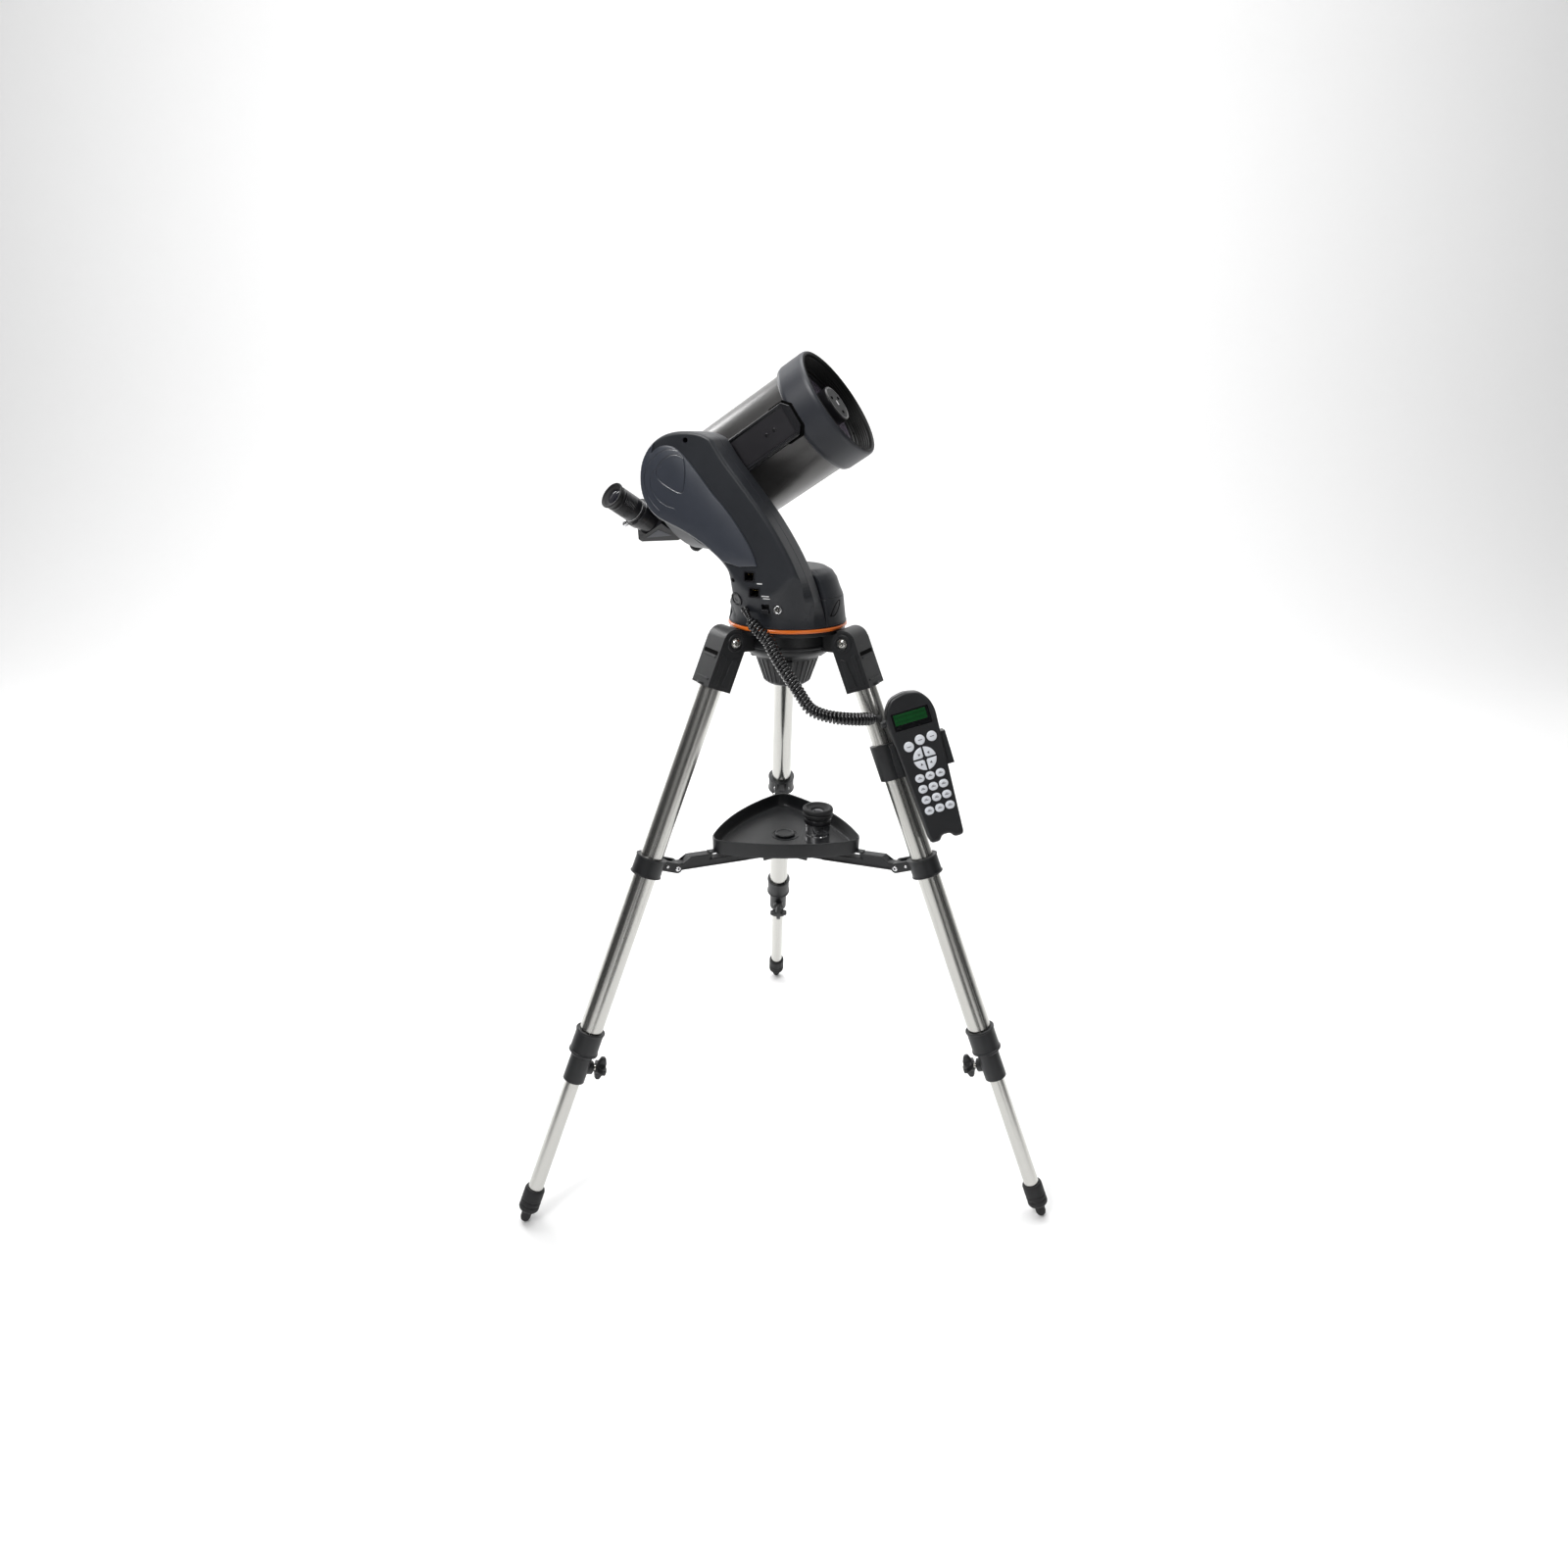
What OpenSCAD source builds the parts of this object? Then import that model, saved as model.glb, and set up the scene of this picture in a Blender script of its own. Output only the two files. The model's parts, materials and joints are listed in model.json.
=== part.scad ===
// Catadioptric telescope on a single-arm motorised alt-azimuth mount with a folding tripod.
// The model stands on z = 0. The azimuth axis is vertical and lies behind the centre of the feet.

/* [Tripod] */
// Radius of the circle that the three foot tips stand on
foot_circle_r = 356; // [320:1:430]
// Height of the leg pivots above the ground
leg_pivot_z = 675; // [560:1:820]
// Distance from the edge of the turning base out to the leg pivots
pivot_out = 13; // [11:1:20]
// Outside diameter of an upper leg tube
leg_tube_d = 28.2; // [23:0.1:34]
// Wall of an upper leg tube
leg_tube_wall = 1.2; // [0.8:0.1:2]
// Outside diameter of a leg extension
extension_d = 18; // [14:0.1:21]
// Length of a leg bracket below its pivot
bracket_len = 61; // [50:1:70]
// Width of a leg bracket
bracket_w = 43; // [40:0.5:50]
// Distance from the leg pivot down to the spreader collar
collar_s = 290; // [280:1:300]
// Distance from the leg pivot down to the top of the leg clamp
clamp_s = 496; // [440:1:510]
// Length of a leg clamp
clamp_len = 60; // [54:1:70]
// Diameter of a rubber foot cap
foot_cap_d = 24; // [22:0.5:30]

/* [Spreader and tray] */
// Width of a spreader arm
arm_w = 12; // [10:0.5:14]
// Radius of the circle through the hub's pivots
hub_pin_r = 30; // [28:1:34]
// Distance from the centre of the tray to a corner
tray_corner_r = 111; // [90:1:112]
// Distance from the centre of the tray to the middle of an edge
tray_edge_r = 73; // [66:1:78]
// Depth of the tray
tray_depth = 19; // [14:0.5:24]
// Wall of the tray
tray_wall = 2; // [1.5:0.1:3]

/* [Mount] */
// Radius of the turning base
base_r = 75; // [72:1:80]
// Height of the battery dome above the tripod head
dome_h = 80; // [70:1:84]
// Heading of the optical tube, anticlockwise from +X
mount_azimuth = -23.8; // [-40:0.1:0]
// Height of the altitude axis above the tripod head
altitude_h = 190; // [185:1:230]
// Distance from the azimuth axis back to the altitude axis
altitude_back = 104; // [98:1:110]
// Thickness of the fork arm
fork_w = 50; // [44:1:54]
// Distance from the azimuth axis to the arm's inner face
fork_in = 35; // [34:1:40]
// Radius of the arm's round head
head_round_r = 59; // [54:1:62]
// Wall of the plastic shells
shell_wall = 2.6; // [2:0.1:3.5]

/* [Optical tube] */
// Outside diameter of the optical tube
tube_d = 145; // [120:0.5:150]
// Wall of the optical tube
tube_wall = 1.5; // [1:0.1:2.5]
// Distance from the altitude axis to the back of the rear cell
tube_back = 97; // [90:1:110]
// Distance from the altitude axis to the front rim
tube_front = 180; // [170:1:220]
// Elevation of the optical axis
altitude = 33.5; // [20:0.5:45]
// Thickness of the dovetail bar
bar_t = 10; // [8:0.5:12]
// Width of the dovetail bar
bar_w = 47; // [40:0.5:52]

/* [Eyepieces] */
// Diameter of the eyepiece barrels
barrel_d = 31.7; // [24.5:0.1:31.8]
// Turn of the star diagonal about the optical axis, towards the arm
diagonal_roll = 52; // [0:1:60]
// Height of the eyepiece's eye end above the optical axis
eyepiece_h = 94; // [90:1:104]

/* [Handset] */
// Length of the handset
handset_len = 182; // [170:1:190]
// Width of the handset at its display end
handset_w = 62; // [58:1:66]
// Thickness of the handset
handset_t = 24; // [20:0.5:28]
// Diameter of the curly cord's coil
cord_d = 12.5; // [11:0.5:14]

/* [Hidden] */
$fn = 64;
fit = 0.05;
running = 0.1;
gap = 0.3;
LEFT = 0;
RIGHT = 1;
BACK = 2;
leg_angles = [210, 330, 90];
// Tripod
tip_r = 6;
leg_pivot_r = base_r + pivot_out;
splay = atan((foot_circle_r - leg_pivot_r) / (leg_pivot_z - tip_r));
leg_len = norm([foot_circle_r - leg_pivot_r, leg_pivot_z - tip_r]);
bracket_in = 22;
bolt_d = 8;
tongue_w = 24;
tongue_r = 14;
collar_h = 22;
collar_wall = 4.5;
ear_t = 4;
pin_d = 5;
// The spreader's outer pin, measured square to the leg and along it
pin_x = leg_tube_d / 2 + 21.5;
pin_s = collar_s - 5;
pin_r = leg_pivot_r + pin_s * sin(splay) - pin_x * cos(splay);
pin_z = leg_pivot_z - pin_s * cos(splay) - pin_x * sin(splay);
clamp_step = 26;
clamp_wall = 2.8;
grip_wall = 4;
screw_d = 5;
knob_s = clamp_s + 45;
knob_neck = extension_d / 2 + grip_wall + 5;
extension_top = 300;
extension_wall = 1.5;
foot_cap_h = 26;
foot_neck = 13;
// Spreader and tray
hub_drop = 11;
hub_pin_z = pin_z - hub_drop;
arm_len = norm([pin_r - hub_pin_r, hub_drop]);
arm_tilt = atan(hub_drop / (pin_r - hub_pin_r));
arm_h = 9;
eye_r = 5.5;
hub_disc_z = hub_pin_z + 11;
hub_disc_t = 3.5;
tray_z = hub_disc_z + hub_disc_t + gap;
lock_d = 12;
lock_knob_h = 13;
tray_chord = tray_corner_r * sin(60);
tray_sag = tray_edge_r - tray_corner_r * cos(60);
tray_arc_r = (tray_chord * tray_chord + tray_sag * tray_sag) / (2 * tray_sag);
// Tripod head and mount, with heights measured from the top of the tripod head
head_r = 58;
head_top_z = leg_pivot_z + 9;
head_screw_pcd = 96;
head_screw_d = 6;
plate_h = 5;
ring_h = 5;
ring_w = 6;
shell_z = plate_h + ring_h + 0.5;
shaft_d = 24;
gear_z = 17;
gear_h = 8;
gear_teeth = 48;
gear_r = 27;
tooth_h = 2;
dome_shoulder = 45;
fork_mid = fork_in + fork_w / 2;
fork_out = fork_in + fork_w;
flare_z = 22;
socket_w = 15;
socket_h = 13;
socket_wall = 1.6;
socket_depth = 13;
socket_places = [[-17, 75], [-10, 56]];
jack_x = 18;
jack_z = 36;
jack_d = 11;
jack_bore = 6;
jack_len = 14;
jack_in = 5.5;
switch_x = 3;
switch_z = 36;
switch_w = 10;
switch_slot = 12;
switch_h = 5;
motor_d = 16;
pinion_d = 8;
flare_top = 90;
flare_r = 98;
arm_points = [
    [-66, shell_z], [-47, 56], [-43.5, 74], [-50, 90], [-66, 112], [-93, 128], [-125, 141],
    [-altitude_back, altitude_h], [-80, 241], [-51, 212], [-24, 181], [3, 149], [26, 115],
    [42, 86], [58, 52], [68, shell_z]
];
trim_points = [
    [-38, 78], [-50, 104], [-74, 128], [-100, 150], [-104, 226], [-70, 222], [-24, 168],
    [6, 132], [24, 100], [30, 78]
];
trim_t = 2;
altitude_shaft_d = 28;
flange_t = 4;
flange_r = 36;
saddle_floor = 3;
saddle_grip = 5;
saddle_len = 64;
saddle_lip = 7;
tube_y = -fork_in + gap + flange_t + saddle_floor + bar_t + tube_d / 2;
bar_y = tube_d / 2 + bar_t;
bar_back = -66;
saddle_screw_y = -bar_y + 2.6;
// Optical tube
ring_len = 43;
ring_wall = 6.5;
bar_front = tube_front - ring_len - gap;
clear_d = tube_d - 18;
plate_x = tube_front - 31;
plate_t = 5;
plate_r = clear_d / 2 + 3;
cell_r = 25;
cell_front = tube_front - 3;
cell_neck_r = 19;
rear_wall = 5;
rear_len = 30;
rear_taper = 22;
rear_r = 57;
baffle_r = 19;
baffle_wall = 2.5;
baffle_front = 40;
mirror_x = -tube_back + 40;
mirror_t = 16;
mirror_r = tube_d / 2 - tube_wall - 5;
sleeve_wall = 3;
focus_y = 22;
focus_z = -46;
focus_shaft_d = 6;
back_x = -tube_back - gap;
back_len = 27;
back_step = 10;
prism_x = -tube_back - 40.5;
prism_half = 20;
holder_r = 19;
holder_base = 20;
holder_top = 46;
screw_h = holder_top - 6;
// Handset and its holder, in the right leg's frame turned to face forwards
holder_turn = 30;
handset_s = 168;
handset_x = 37;
handset_y = leg_tube_d / 2 + 15;
handset_tilt = 2;
handset_foot_w = 42;
handset_wall = 2.2;
key_travel = 1;
key_proud = 1.5;
key_w = 11.4;
key_h = 9.6;
key_x = 1.5;
key_pitch_x = 12.8;
key_pitch_z = 13.2;
key_top_z = -13;
round_key_d = 12.4;
round_keys = [[-13, 26.5], [2, 31], [17, 31.5]];
arrow_z = 8.3;
arrow_r = 14;
window_w = 47;
window_h = 22;
window_z = 47;
holder_s = 155;
holder_h = 44;
cradle_t = 3;
jaw_t = 4;
// The curly cord, from the plug on the mount to the handset's gland, about the azimuth axis
cord_route = [
    [-50, -69, 25], [-48, -74, 19], [-43, -79, 10], [-35, -83, -1], [-27, -87, -14], [-18, -92, -29],
    [-9, -96, -44], [0, -99, -57], [9, -102, -69], [20, -106, -80], [36, -109, -88], [57, -110, -93],
    [79, -104, -99], [96, -95, -103], [109, -92, -102]
];
cord_sides = 10;

plastic = "#2b2d31";
slate = "#3c3f47";
steel = "#c9ccd0";
rubber = "#18181a";

// ---------- frames ----------

module about_axis() {
    translate([0, -foot_circle_r / 4, 0]) children();
}

// Local -Z runs down the leg and +X points outwards
module leg_frame(i) {
    about_axis()
        rotate([0, 0, leg_angles[i]])
            translate([leg_pivot_r, 0, leg_pivot_z])
                rotate([0, -splay, 0])
                    children();
}

// Upright frame at a spreader arm's outer pin, with +X outwards
module spreader_frame(i) {
    about_axis()
        rotate([0, 0, leg_angles[i]])
            translate([pin_r, 0, pin_z])
                rotate([0, -arm_tilt, 0])
                    children();
}

// +X along the tube's heading, +Y away from the arm, heights from the tripod head
module mount_frame() {
    about_axis()
        translate([0, 0, head_top_z])
            rotate([0, 0, mount_azimuth])
                children();
}

// +X along the optical axis, origin beside the altitude axis
module tube_frame() {
    mount_frame()
        translate([-altitude_back, tube_y, altitude_h])
            rotate([0, -altitude, 0])
                children();
}

// +Z along the eyepiece, origin where it meets the optical axis
module diagonal_frame() {
    tube_frame()
        rotate([diagonal_roll, 0, 0])
            translate([prism_x, 0, 0])
                children();
}

module along_x() {
    rotate([0, 90, 0]) children();
}

module handset_frame() {
    leg_frame(RIGHT)
        rotate([0, 0, holder_turn])
            translate([handset_x, -handset_y, -handset_s])
                rotate([0, handset_tilt, 0])
                    children();
}

// ---------- shared shapes ----------

module tube_shape(d_out, d_in, h) {
    difference() {
        cylinder(d = d_out, h = h);
        translate([0, 0, -1]) cylinder(d = d_in, h = h + 2);
    }
}

module stadium(w, h) {
    translate([-(w - h) / 2, 0]) circle(d = h);
    translate([(w - h) / 2, 0]) circle(d = h);
    square([w - h, h], center = true);
}

// A plate in the X-Z plane, centred on y = 0
module upright(t) {
    rotate([90, 0, 0]) linear_extrude(t, center = true) children();
}

// ---------- tripod ----------

module head_profile() {
    polygon([
        [0, -73], [24, -73], [29, -69], [42, -35], [42, -33], [55, -29], [head_r, -24],
        [head_r, 0], [0, 0]
    ]);
}

module tripod_head() {
    color(plastic)
        difference() {
            union() {
                about_axis() translate([0, 0, head_top_z]) rotate_extrude() head_profile();
                for (a = leg_angles) about_axis() rotate([0, 0, a]) head_tongue();
            }
            about_axis() translate([0, 0, head_top_z - 60]) cylinder(d = 64, h = 61);
            for (a = leg_angles)
                about_axis() rotate([0, 0, a + 60]) head_screw_hole(head_screw_d + 2 * running, 60);
            for (i = [LEFT:BACK])
                about_axis()
                    rotate([0, 0, leg_angles[i]])
                        translate([leg_pivot_r, 0, leg_pivot_z])
                            rotate([90, 0, 0])
                                cylinder(d = bolt_d + 2 * running, h = bracket_w + 2, center = true);
        }
}

module head_tongue() {
    translate([0, 0, leg_pivot_z])
        upright(tongue_w)
            difference() {
                union() {
                    translate([leg_pivot_r, -2]) circle(r = tongue_r - 3);
                    translate([head_r - 8, -13]) square([leg_pivot_r - head_r + 8, 22]);
                }
                translate([0, -20]) square([40, 40]);
            }
}

module head_screw_hole(d, h) {
    translate([head_screw_pcd / 2, 0, head_top_z - h]) cylinder(d = d, h = h + 1);
}

// Three leg pivot bolts, and the three captive screws that hold the mount
module head_bolts() {
    color(steel) {
        for (a = leg_angles)
            about_axis() rotate([0, 0, a]) translate([leg_pivot_r, 0, leg_pivot_z]) rotate([90, 0, 0]) pivot_bolt();
        for (a = leg_angles)
            about_axis() rotate([0, 0, a + 60]) translate([head_screw_pcd / 2, 0, head_top_z]) mount_screw();
    }
}

module pivot_bolt() {
    cylinder(d = bolt_d, h = bracket_w + 2 * gap, center = true);
    for (s = [-1, 1]) scale([1, 1, s]) translate([0, 0, bracket_w / 2 + gap]) cylinder(d = 12, h = 2.5);
}

module mount_screw() {
    translate([0, 0, -34]) cylinder(d = head_screw_d, h = 38);
    translate([0, 0, -43]) cylinder(d = 12, h = 9);
}

module bracket() {
    difference() {
        upright(bracket_w) {
            circle(r = 15);
            translate([-16, -bracket_len]) square([33, bracket_len]);
        }
        translate([-30, -tongue_w / 2 - gap, -20]) cube([60, tongue_w + 2 * gap, 50]);
        translate([0, 0, -bracket_len - 1]) cylinder(d = leg_tube_d + 2 * fit, h = bracket_len - bracket_in + 1);
        rotate([90, 0, 0]) cylinder(d = bolt_d + 2 * running, h = bracket_w + 2, center = true);
    }
}

module collar() {
    ear_gap = arm_w + 2 * gap;
    translate([0, 0, -collar_s - collar_h / 2])
        tube_shape(leg_tube_d + 2 * collar_wall, leg_tube_d + 2 * fit, collar_h);
    for (s = [-1, 1])
        translate([0, s * (ear_gap + ear_t) / 2, 0])
            upright(ear_t) {
                translate([-pin_x, -pin_s]) circle(r = 6);
                translate([-pin_x, -pin_s - 6]) square([pin_x - leg_tube_d / 2 - 1, 12]);
            }
    translate([-pin_x, 0, -pin_s])
        rotate([90, 0, 0])
            cylinder(d = pin_d, h = ear_gap + 2 * ear_t + 3, center = true);
}

module clamp() {
    r_tube = leg_tube_d / 2 + fit;
    r_ext = extension_d / 2 + running;
    step_z = -clamp_s - clamp_step;
    difference() {
        union() {
            rotate_extrude()
                polygon([
                    [r_tube, -clamp_s], [r_tube + clamp_wall, -clamp_s],
                    [r_tube + clamp_wall, step_z], [r_ext + grip_wall, step_z - 4],
                    [r_ext + grip_wall, -clamp_s - clamp_len], [r_ext, -clamp_s - clamp_len],
                    [r_ext, step_z], [r_tube, step_z]
                ]);
            translate([-knob_neck, 0, -knob_s]) along_x() cylinder(d = 15, h = knob_neck - r_ext - 1);
        }
        translate([-knob_neck - 1, 0, -knob_s]) along_x() cylinder(d = screw_d + 2 * running, h = knob_neck);
    }
}

module leg_fittings(i) {
    color(plastic) {
        leg_frame(i) bracket();
        leg_frame(i) collar();
        leg_frame(i) clamp();
    }
}

module leg_tube(i) {
    tube_len = clamp_s + clamp_step - bracket_in - 2 * fit;
    color(steel)
        leg_frame(i)
            translate([0, 0, -bracket_in - fit - tube_len])
                tube_shape(leg_tube_d, leg_tube_d - 2 * leg_tube_wall, tube_len);
}

module clamp_knob(i) {
    color(plastic)
        leg_frame(i)
            translate([-extension_d / 2 - running, 0, -knob_s])
                rotate([0, -90, 0]) {
                    cylinder(d = screw_d, h = 22);
                    translate([0, 0, 14]) {
                        cylinder(d = 11, h = 12);
                        for (a = [0:90:270])
                            rotate([0, 0, a]) translate([0, -3, 2]) cube([11, 6, 10]);
                    }
                }
}

module leg_extension(i) {
    ext_len = leg_len - foot_neck - extension_top;
    color(steel)
        leg_frame(i)
            translate([0, 0, -extension_top - ext_len])
                tube_shape(extension_d, extension_d - 2 * extension_wall, ext_len);
}

module leg_foot(i) {
    color(rubber)
        leg_frame(i)
            translate([0, 0, -leg_len]) {
                difference() {
                    union() {
                        sphere(r = tip_r);
                        cylinder(r = tip_r, h = foot_neck - 2);
                        translate([0, 0, foot_neck - 5]) cylinder(d = foot_cap_d, h = foot_cap_h);
                    }
                    translate([0, 0, foot_neck - fit]) cylinder(d = extension_d + 2 * fit, h = foot_cap_h);
                }
            }
}

// ---------- spreader and tray ----------

module spreader_arm(i) {
    color(plastic)
        spreader_frame(i)
            difference() {
                upright(arm_w) {
                    circle(r = eye_r);
                    translate([-arm_len, 0]) circle(r = eye_r);
                    translate([-arm_len, -arm_h / 2]) square([arm_len, arm_h]);
                    polygon([[-8, 0], [-18, 11], [pin_fall(), 11], [pin_fall(), 0]]);
                }
                rotate([90, 0, 0]) cylinder(d = pin_d + 2 * running, h = arm_w + 2, center = true);
            }
}

// Where a spreader arm's shoulder ends, just outside the tray's corner
function pin_fall() = -(pin_r - tray_corner_r - 4);

module spreader_hub() {
    ear_gap = arm_w + 2 * gap;
    color(plastic)
        about_axis()
            difference() {
                union() {
                    translate([0, 0, hub_disc_z]) cylinder(r = hub_pin_r + 9, h = hub_disc_t);
                    translate([0, 0, hub_pin_z - 4]) cylinder(d = lock_d + 4, h = hub_disc_z - hub_pin_z + 5);
                    for (a = leg_angles)
                        for (s = [-1, 1])
                            rotate([0, 0, a])
                                translate([hub_pin_r - 16, s * (ear_gap + 3) / 2 - 1.5, hub_pin_z - 7])
                                    cube([23, 3, hub_disc_z - hub_pin_z + 8]);
                }
                translate([0, 0, hub_pin_z - 1]) cylinder(d = lock_d + 2 * running, h = 30);
            }
}

module tray_shape(inset) {
    intersection_for(a = [0, 120, 240])
        rotate([0, 0, a + 30])
            translate([tray_edge_r - tray_arc_r, 0])
                circle(r = tray_arc_r - inset, $fn = 180);
}

module tray_outline(inset) {
    intersection() {
        tray_shape(inset);
        circle(r = tray_corner_r - 4 - inset);
    }
}

module accessory_tray() {
    color(plastic)
        about_axis()
            translate([0, 0, tray_z])
                difference() {
                    linear_extrude(tray_depth) tray_outline(0);
                    translate([0, 0, tray_wall]) linear_extrude(tray_depth) tray_outline(tray_wall);
                    translate([0, 0, -1]) cylinder(d = lock_d + 2 * running, h = tray_wall + 2);
                }
}

module tray_lock() {
    color(plastic)
        about_axis() {
            translate([0, 0, hub_pin_z + 2]) cylinder(d = lock_d, h = tray_z + tray_wall + 1 - hub_pin_z - 2);
            translate([0, 0, tray_z + tray_wall + gap]) cylinder(r = 13, h = lock_knob_h - 1);
        }
}

module tray_eyepiece() {
    color(plastic)
        about_axis()
            translate([42, -18, tray_z + tray_wall + gap]) {
                cylinder(d = barrel_d, h = 26);
                translate([0, 0, 25]) cylinder(d = barrel_d + 6, h = 14);
                translate([0, 0, 38]) tube_shape(barrel_d + 4, 20, 7);
            }
}

// ---------- mount ----------

module azimuth_base() {
    color(plastic)
        mount_frame()
            difference() {
                union() {
                    cylinder(r = base_r - 1, h = plate_h);
                    cylinder(r = base_r - ring_w - fit, h = plate_h + ring_h);
                    cylinder(d = shaft_d, h = gear_z + gear_h + 3);
                }
                rotate([0, 0, -mount_azimuth])
                    for (a = leg_angles)
                        rotate([0, 0, a + 60])
                            translate([head_screw_pcd / 2, 0, -1])
                                cylinder(d = head_screw_d + 2 * running, h = 7);
            }
}

module gear_outline() {
    tooth = 360 / gear_teeth;
    polygon([for (i = [0:gear_teeth - 1]) for (k = [0:3])
        let (r = gear_r + (k == 1 || k == 2 ? tooth_h : 0), a = (i + k / 4) * tooth)
            [r * cos(a), r * sin(a)]]);
}

module azimuth_gear() {
    color("#c7b06a")
        mount_frame()
            translate([0, 0, gear_z])
                difference() {
                    linear_extrude(gear_h) gear_outline();
                    translate([0, 0, -1]) cylinder(d = shaft_d + 2 * fit, h = gear_h + 2);
                }
}

module accent_ring() {
    color("#e8762c")
        mount_frame()
            translate([0, 0, plate_h + fit])
                tube_shape(2 * base_r + 2, 2 * (base_r - ring_w), ring_h - fit);
}

module dome_profile(inset) {
    r = base_r - inset;
    top = dome_h - inset;
    polygon([
        [0, shell_z], [r, shell_z], [r, dome_shoulder], [r - 2, dome_shoulder + 12],
        [r - 7, dome_shoulder + 22], [r - 15, dome_shoulder + 29.5], [r - 27, top], [0, top]
    ]);
}

// The half of the base that the arm leaves free
module behind_arm(shift) {
    translate([-base_r - 5, -fork_in + shift, 0]) cube([2 * base_r + 10, 2 * base_r, dome_h + 1]);
}

module base_shell() {
    color(slate)
        mount_frame()
            difference() {
                intersection() {
                    rotate_extrude() dome_profile(0);
                    behind_arm(gap);
                    cylinder(r = base_r + 1, h = dome_shoulder);
                }
                intersection() {
                    translate([0, 0, shell_wall]) rotate_extrude() dome_profile(shell_wall);
                    behind_arm(gap + shell_wall);
                }
                cylinder(d = shaft_d + 2 * running, h = shell_z + shell_wall + 1);
            }
}

module battery_cover() {
    color(slate)
        mount_frame()
            difference() {
                intersection() {
                    rotate_extrude() dome_profile(0);
                    behind_arm(2 * gap);
                    translate([0, 0, dome_shoulder + gap]) cylinder(r = base_r + 1, h = dome_h);
                }
                intersection() {
                    rotate_extrude() dome_profile(shell_wall);
                    behind_arm(2 * gap + shell_wall);
                }
            }
}

module arm_outline(inset) {
    offset(delta = -inset)
        offset(r = 8, $fn = 32)
            offset(delta = -8)
                union() {
                    polygon(arm_points);
                    translate([-altitude_back, altitude_h]) circle(r = head_round_r, $fn = 96);
                }
}

// The arm's lower end follows the round base and flares out above it
module arm_envelope(inset) {
    translate([0, 0, shell_z]) cylinder(r = base_r - inset, h = flare_z - shell_z);
    translate([0, 0, flare_z]) cylinder(r1 = base_r - inset, r2 = flare_r - inset, h = flare_top - flare_z);
    translate([-250, -fork_out - 5, flare_top]) cube([500, fork_w + 10, 250]);
}

module arm_solid(inset) {
    intersection() {
        translate([0, -fork_mid, 0]) upright(fork_w - 2 * inset) arm_outline(inset);
        arm_envelope(inset);
    }
}

module arm_slab(y_from, y_to) {
    translate([-300, y_from, -5]) cube([600, y_to - y_from, 400]);
}

module at_socket(place) {
    translate([place[0], -fork_out + gap, place[1]]) children();
}

module at_jack() {
    translate([jack_x, -fork_out + jack_in, jack_z]) rotate([-90, 0, 0]) children();
}

// Openings in the arm for the sockets, the power socket and the switch
module panel_cuts() {
    for (place = socket_places)
        at_socket(place)
            translate([-socket_w / 2 - fit, -fork_w / 2, -socket_h / 2 - fit])
                cube([socket_w + 2 * fit, fork_w / 2 + socket_depth + fit, socket_h + 2 * fit]);
    at_jack() translate([0, 0, -jack_in - 2]) cylinder(d = jack_d + 2 * fit, h = jack_len + jack_in + 2);
    translate([switch_x - switch_w / 2, -fork_out - 1, switch_z - switch_slot / 2])
        cube([switch_w, 20, switch_slot]);
}

module arm_outer_shell() {
    color(slate)
        mount_frame()
            difference() {
                intersection() {
                    arm_solid(0);
                    arm_slab(-fork_out - 1, -fork_mid - gap / 2);
                }
                arm_solid(shell_wall);
                panel_cuts();
            }
}

module arm_inner_shell() {
    color(slate)
        mount_frame()
            difference() {
                intersection() {
                    arm_solid(0);
                    arm_slab(-fork_mid + gap / 2, -fork_in + 1);
                }
                arm_solid(shell_wall);
                translate([-altitude_back, 0, altitude_h])
                    rotate([90, 0, 0]) cylinder(d = altitude_shaft_d + 2 * running, h = fork_mid);
            }
}

module arm_trim_panel() {
    color("#4a4e58")
        mount_frame()
            translate([0, -fork_out - trim_t / 2 - fit, 0])
                upright(trim_t) offset(r = 6, $fn = 32) offset(delta = -6) polygon(trim_points);
}

// Two modular sockets and the power socket
module socket_panel() {
    color(rubber)
        mount_frame() {
            for (place = socket_places)
                at_socket(place)
                    difference() {
                        translate([-socket_w / 2, 0, -socket_h / 2]) cube([socket_w, socket_depth, socket_h]);
                        translate([-socket_w / 2 + socket_wall, -1, -socket_h / 2 + socket_wall])
                            cube([socket_w - 2 * socket_wall, socket_depth, socket_h - 2 * socket_wall]);
                    }
            at_jack() tube_shape(jack_d, jack_bore, jack_len);
        }
}

module power_switch() {
    color(rubber)
        mount_frame()
            translate([switch_x - switch_w / 2 + gap, -fork_out + 3, switch_z - switch_slot / 2 + gap])
                cube([switch_w - 2 * gap, 9, switch_h]);
}

// Motor and gearbox for each axis, and the altitude worm wheel's housing
module drive_gearboxes() {
    color("#6d6f74")
        mount_frame() {
            translate([-altitude_back + 32, -fork_mid - 14, altitude_h - 40]) cube([24, 28, 46]);
            translate([gear_r + tooth_h + pinion_d / 2 + gap, 0, gear_z]) {
                cylinder(d = pinion_d, h = gear_h + 2);
                translate([0, 0, gear_h + 1]) cylinder(d = motor_d, h = 28);
            }
        }
}

module control_board() {
    color("#2f6b3a")
        mount_frame()
            translate([-30, -fork_mid - 6, 56]) cube([50, 1.6, 40]);
}

// ---------- altitude hub and saddle ----------

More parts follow.
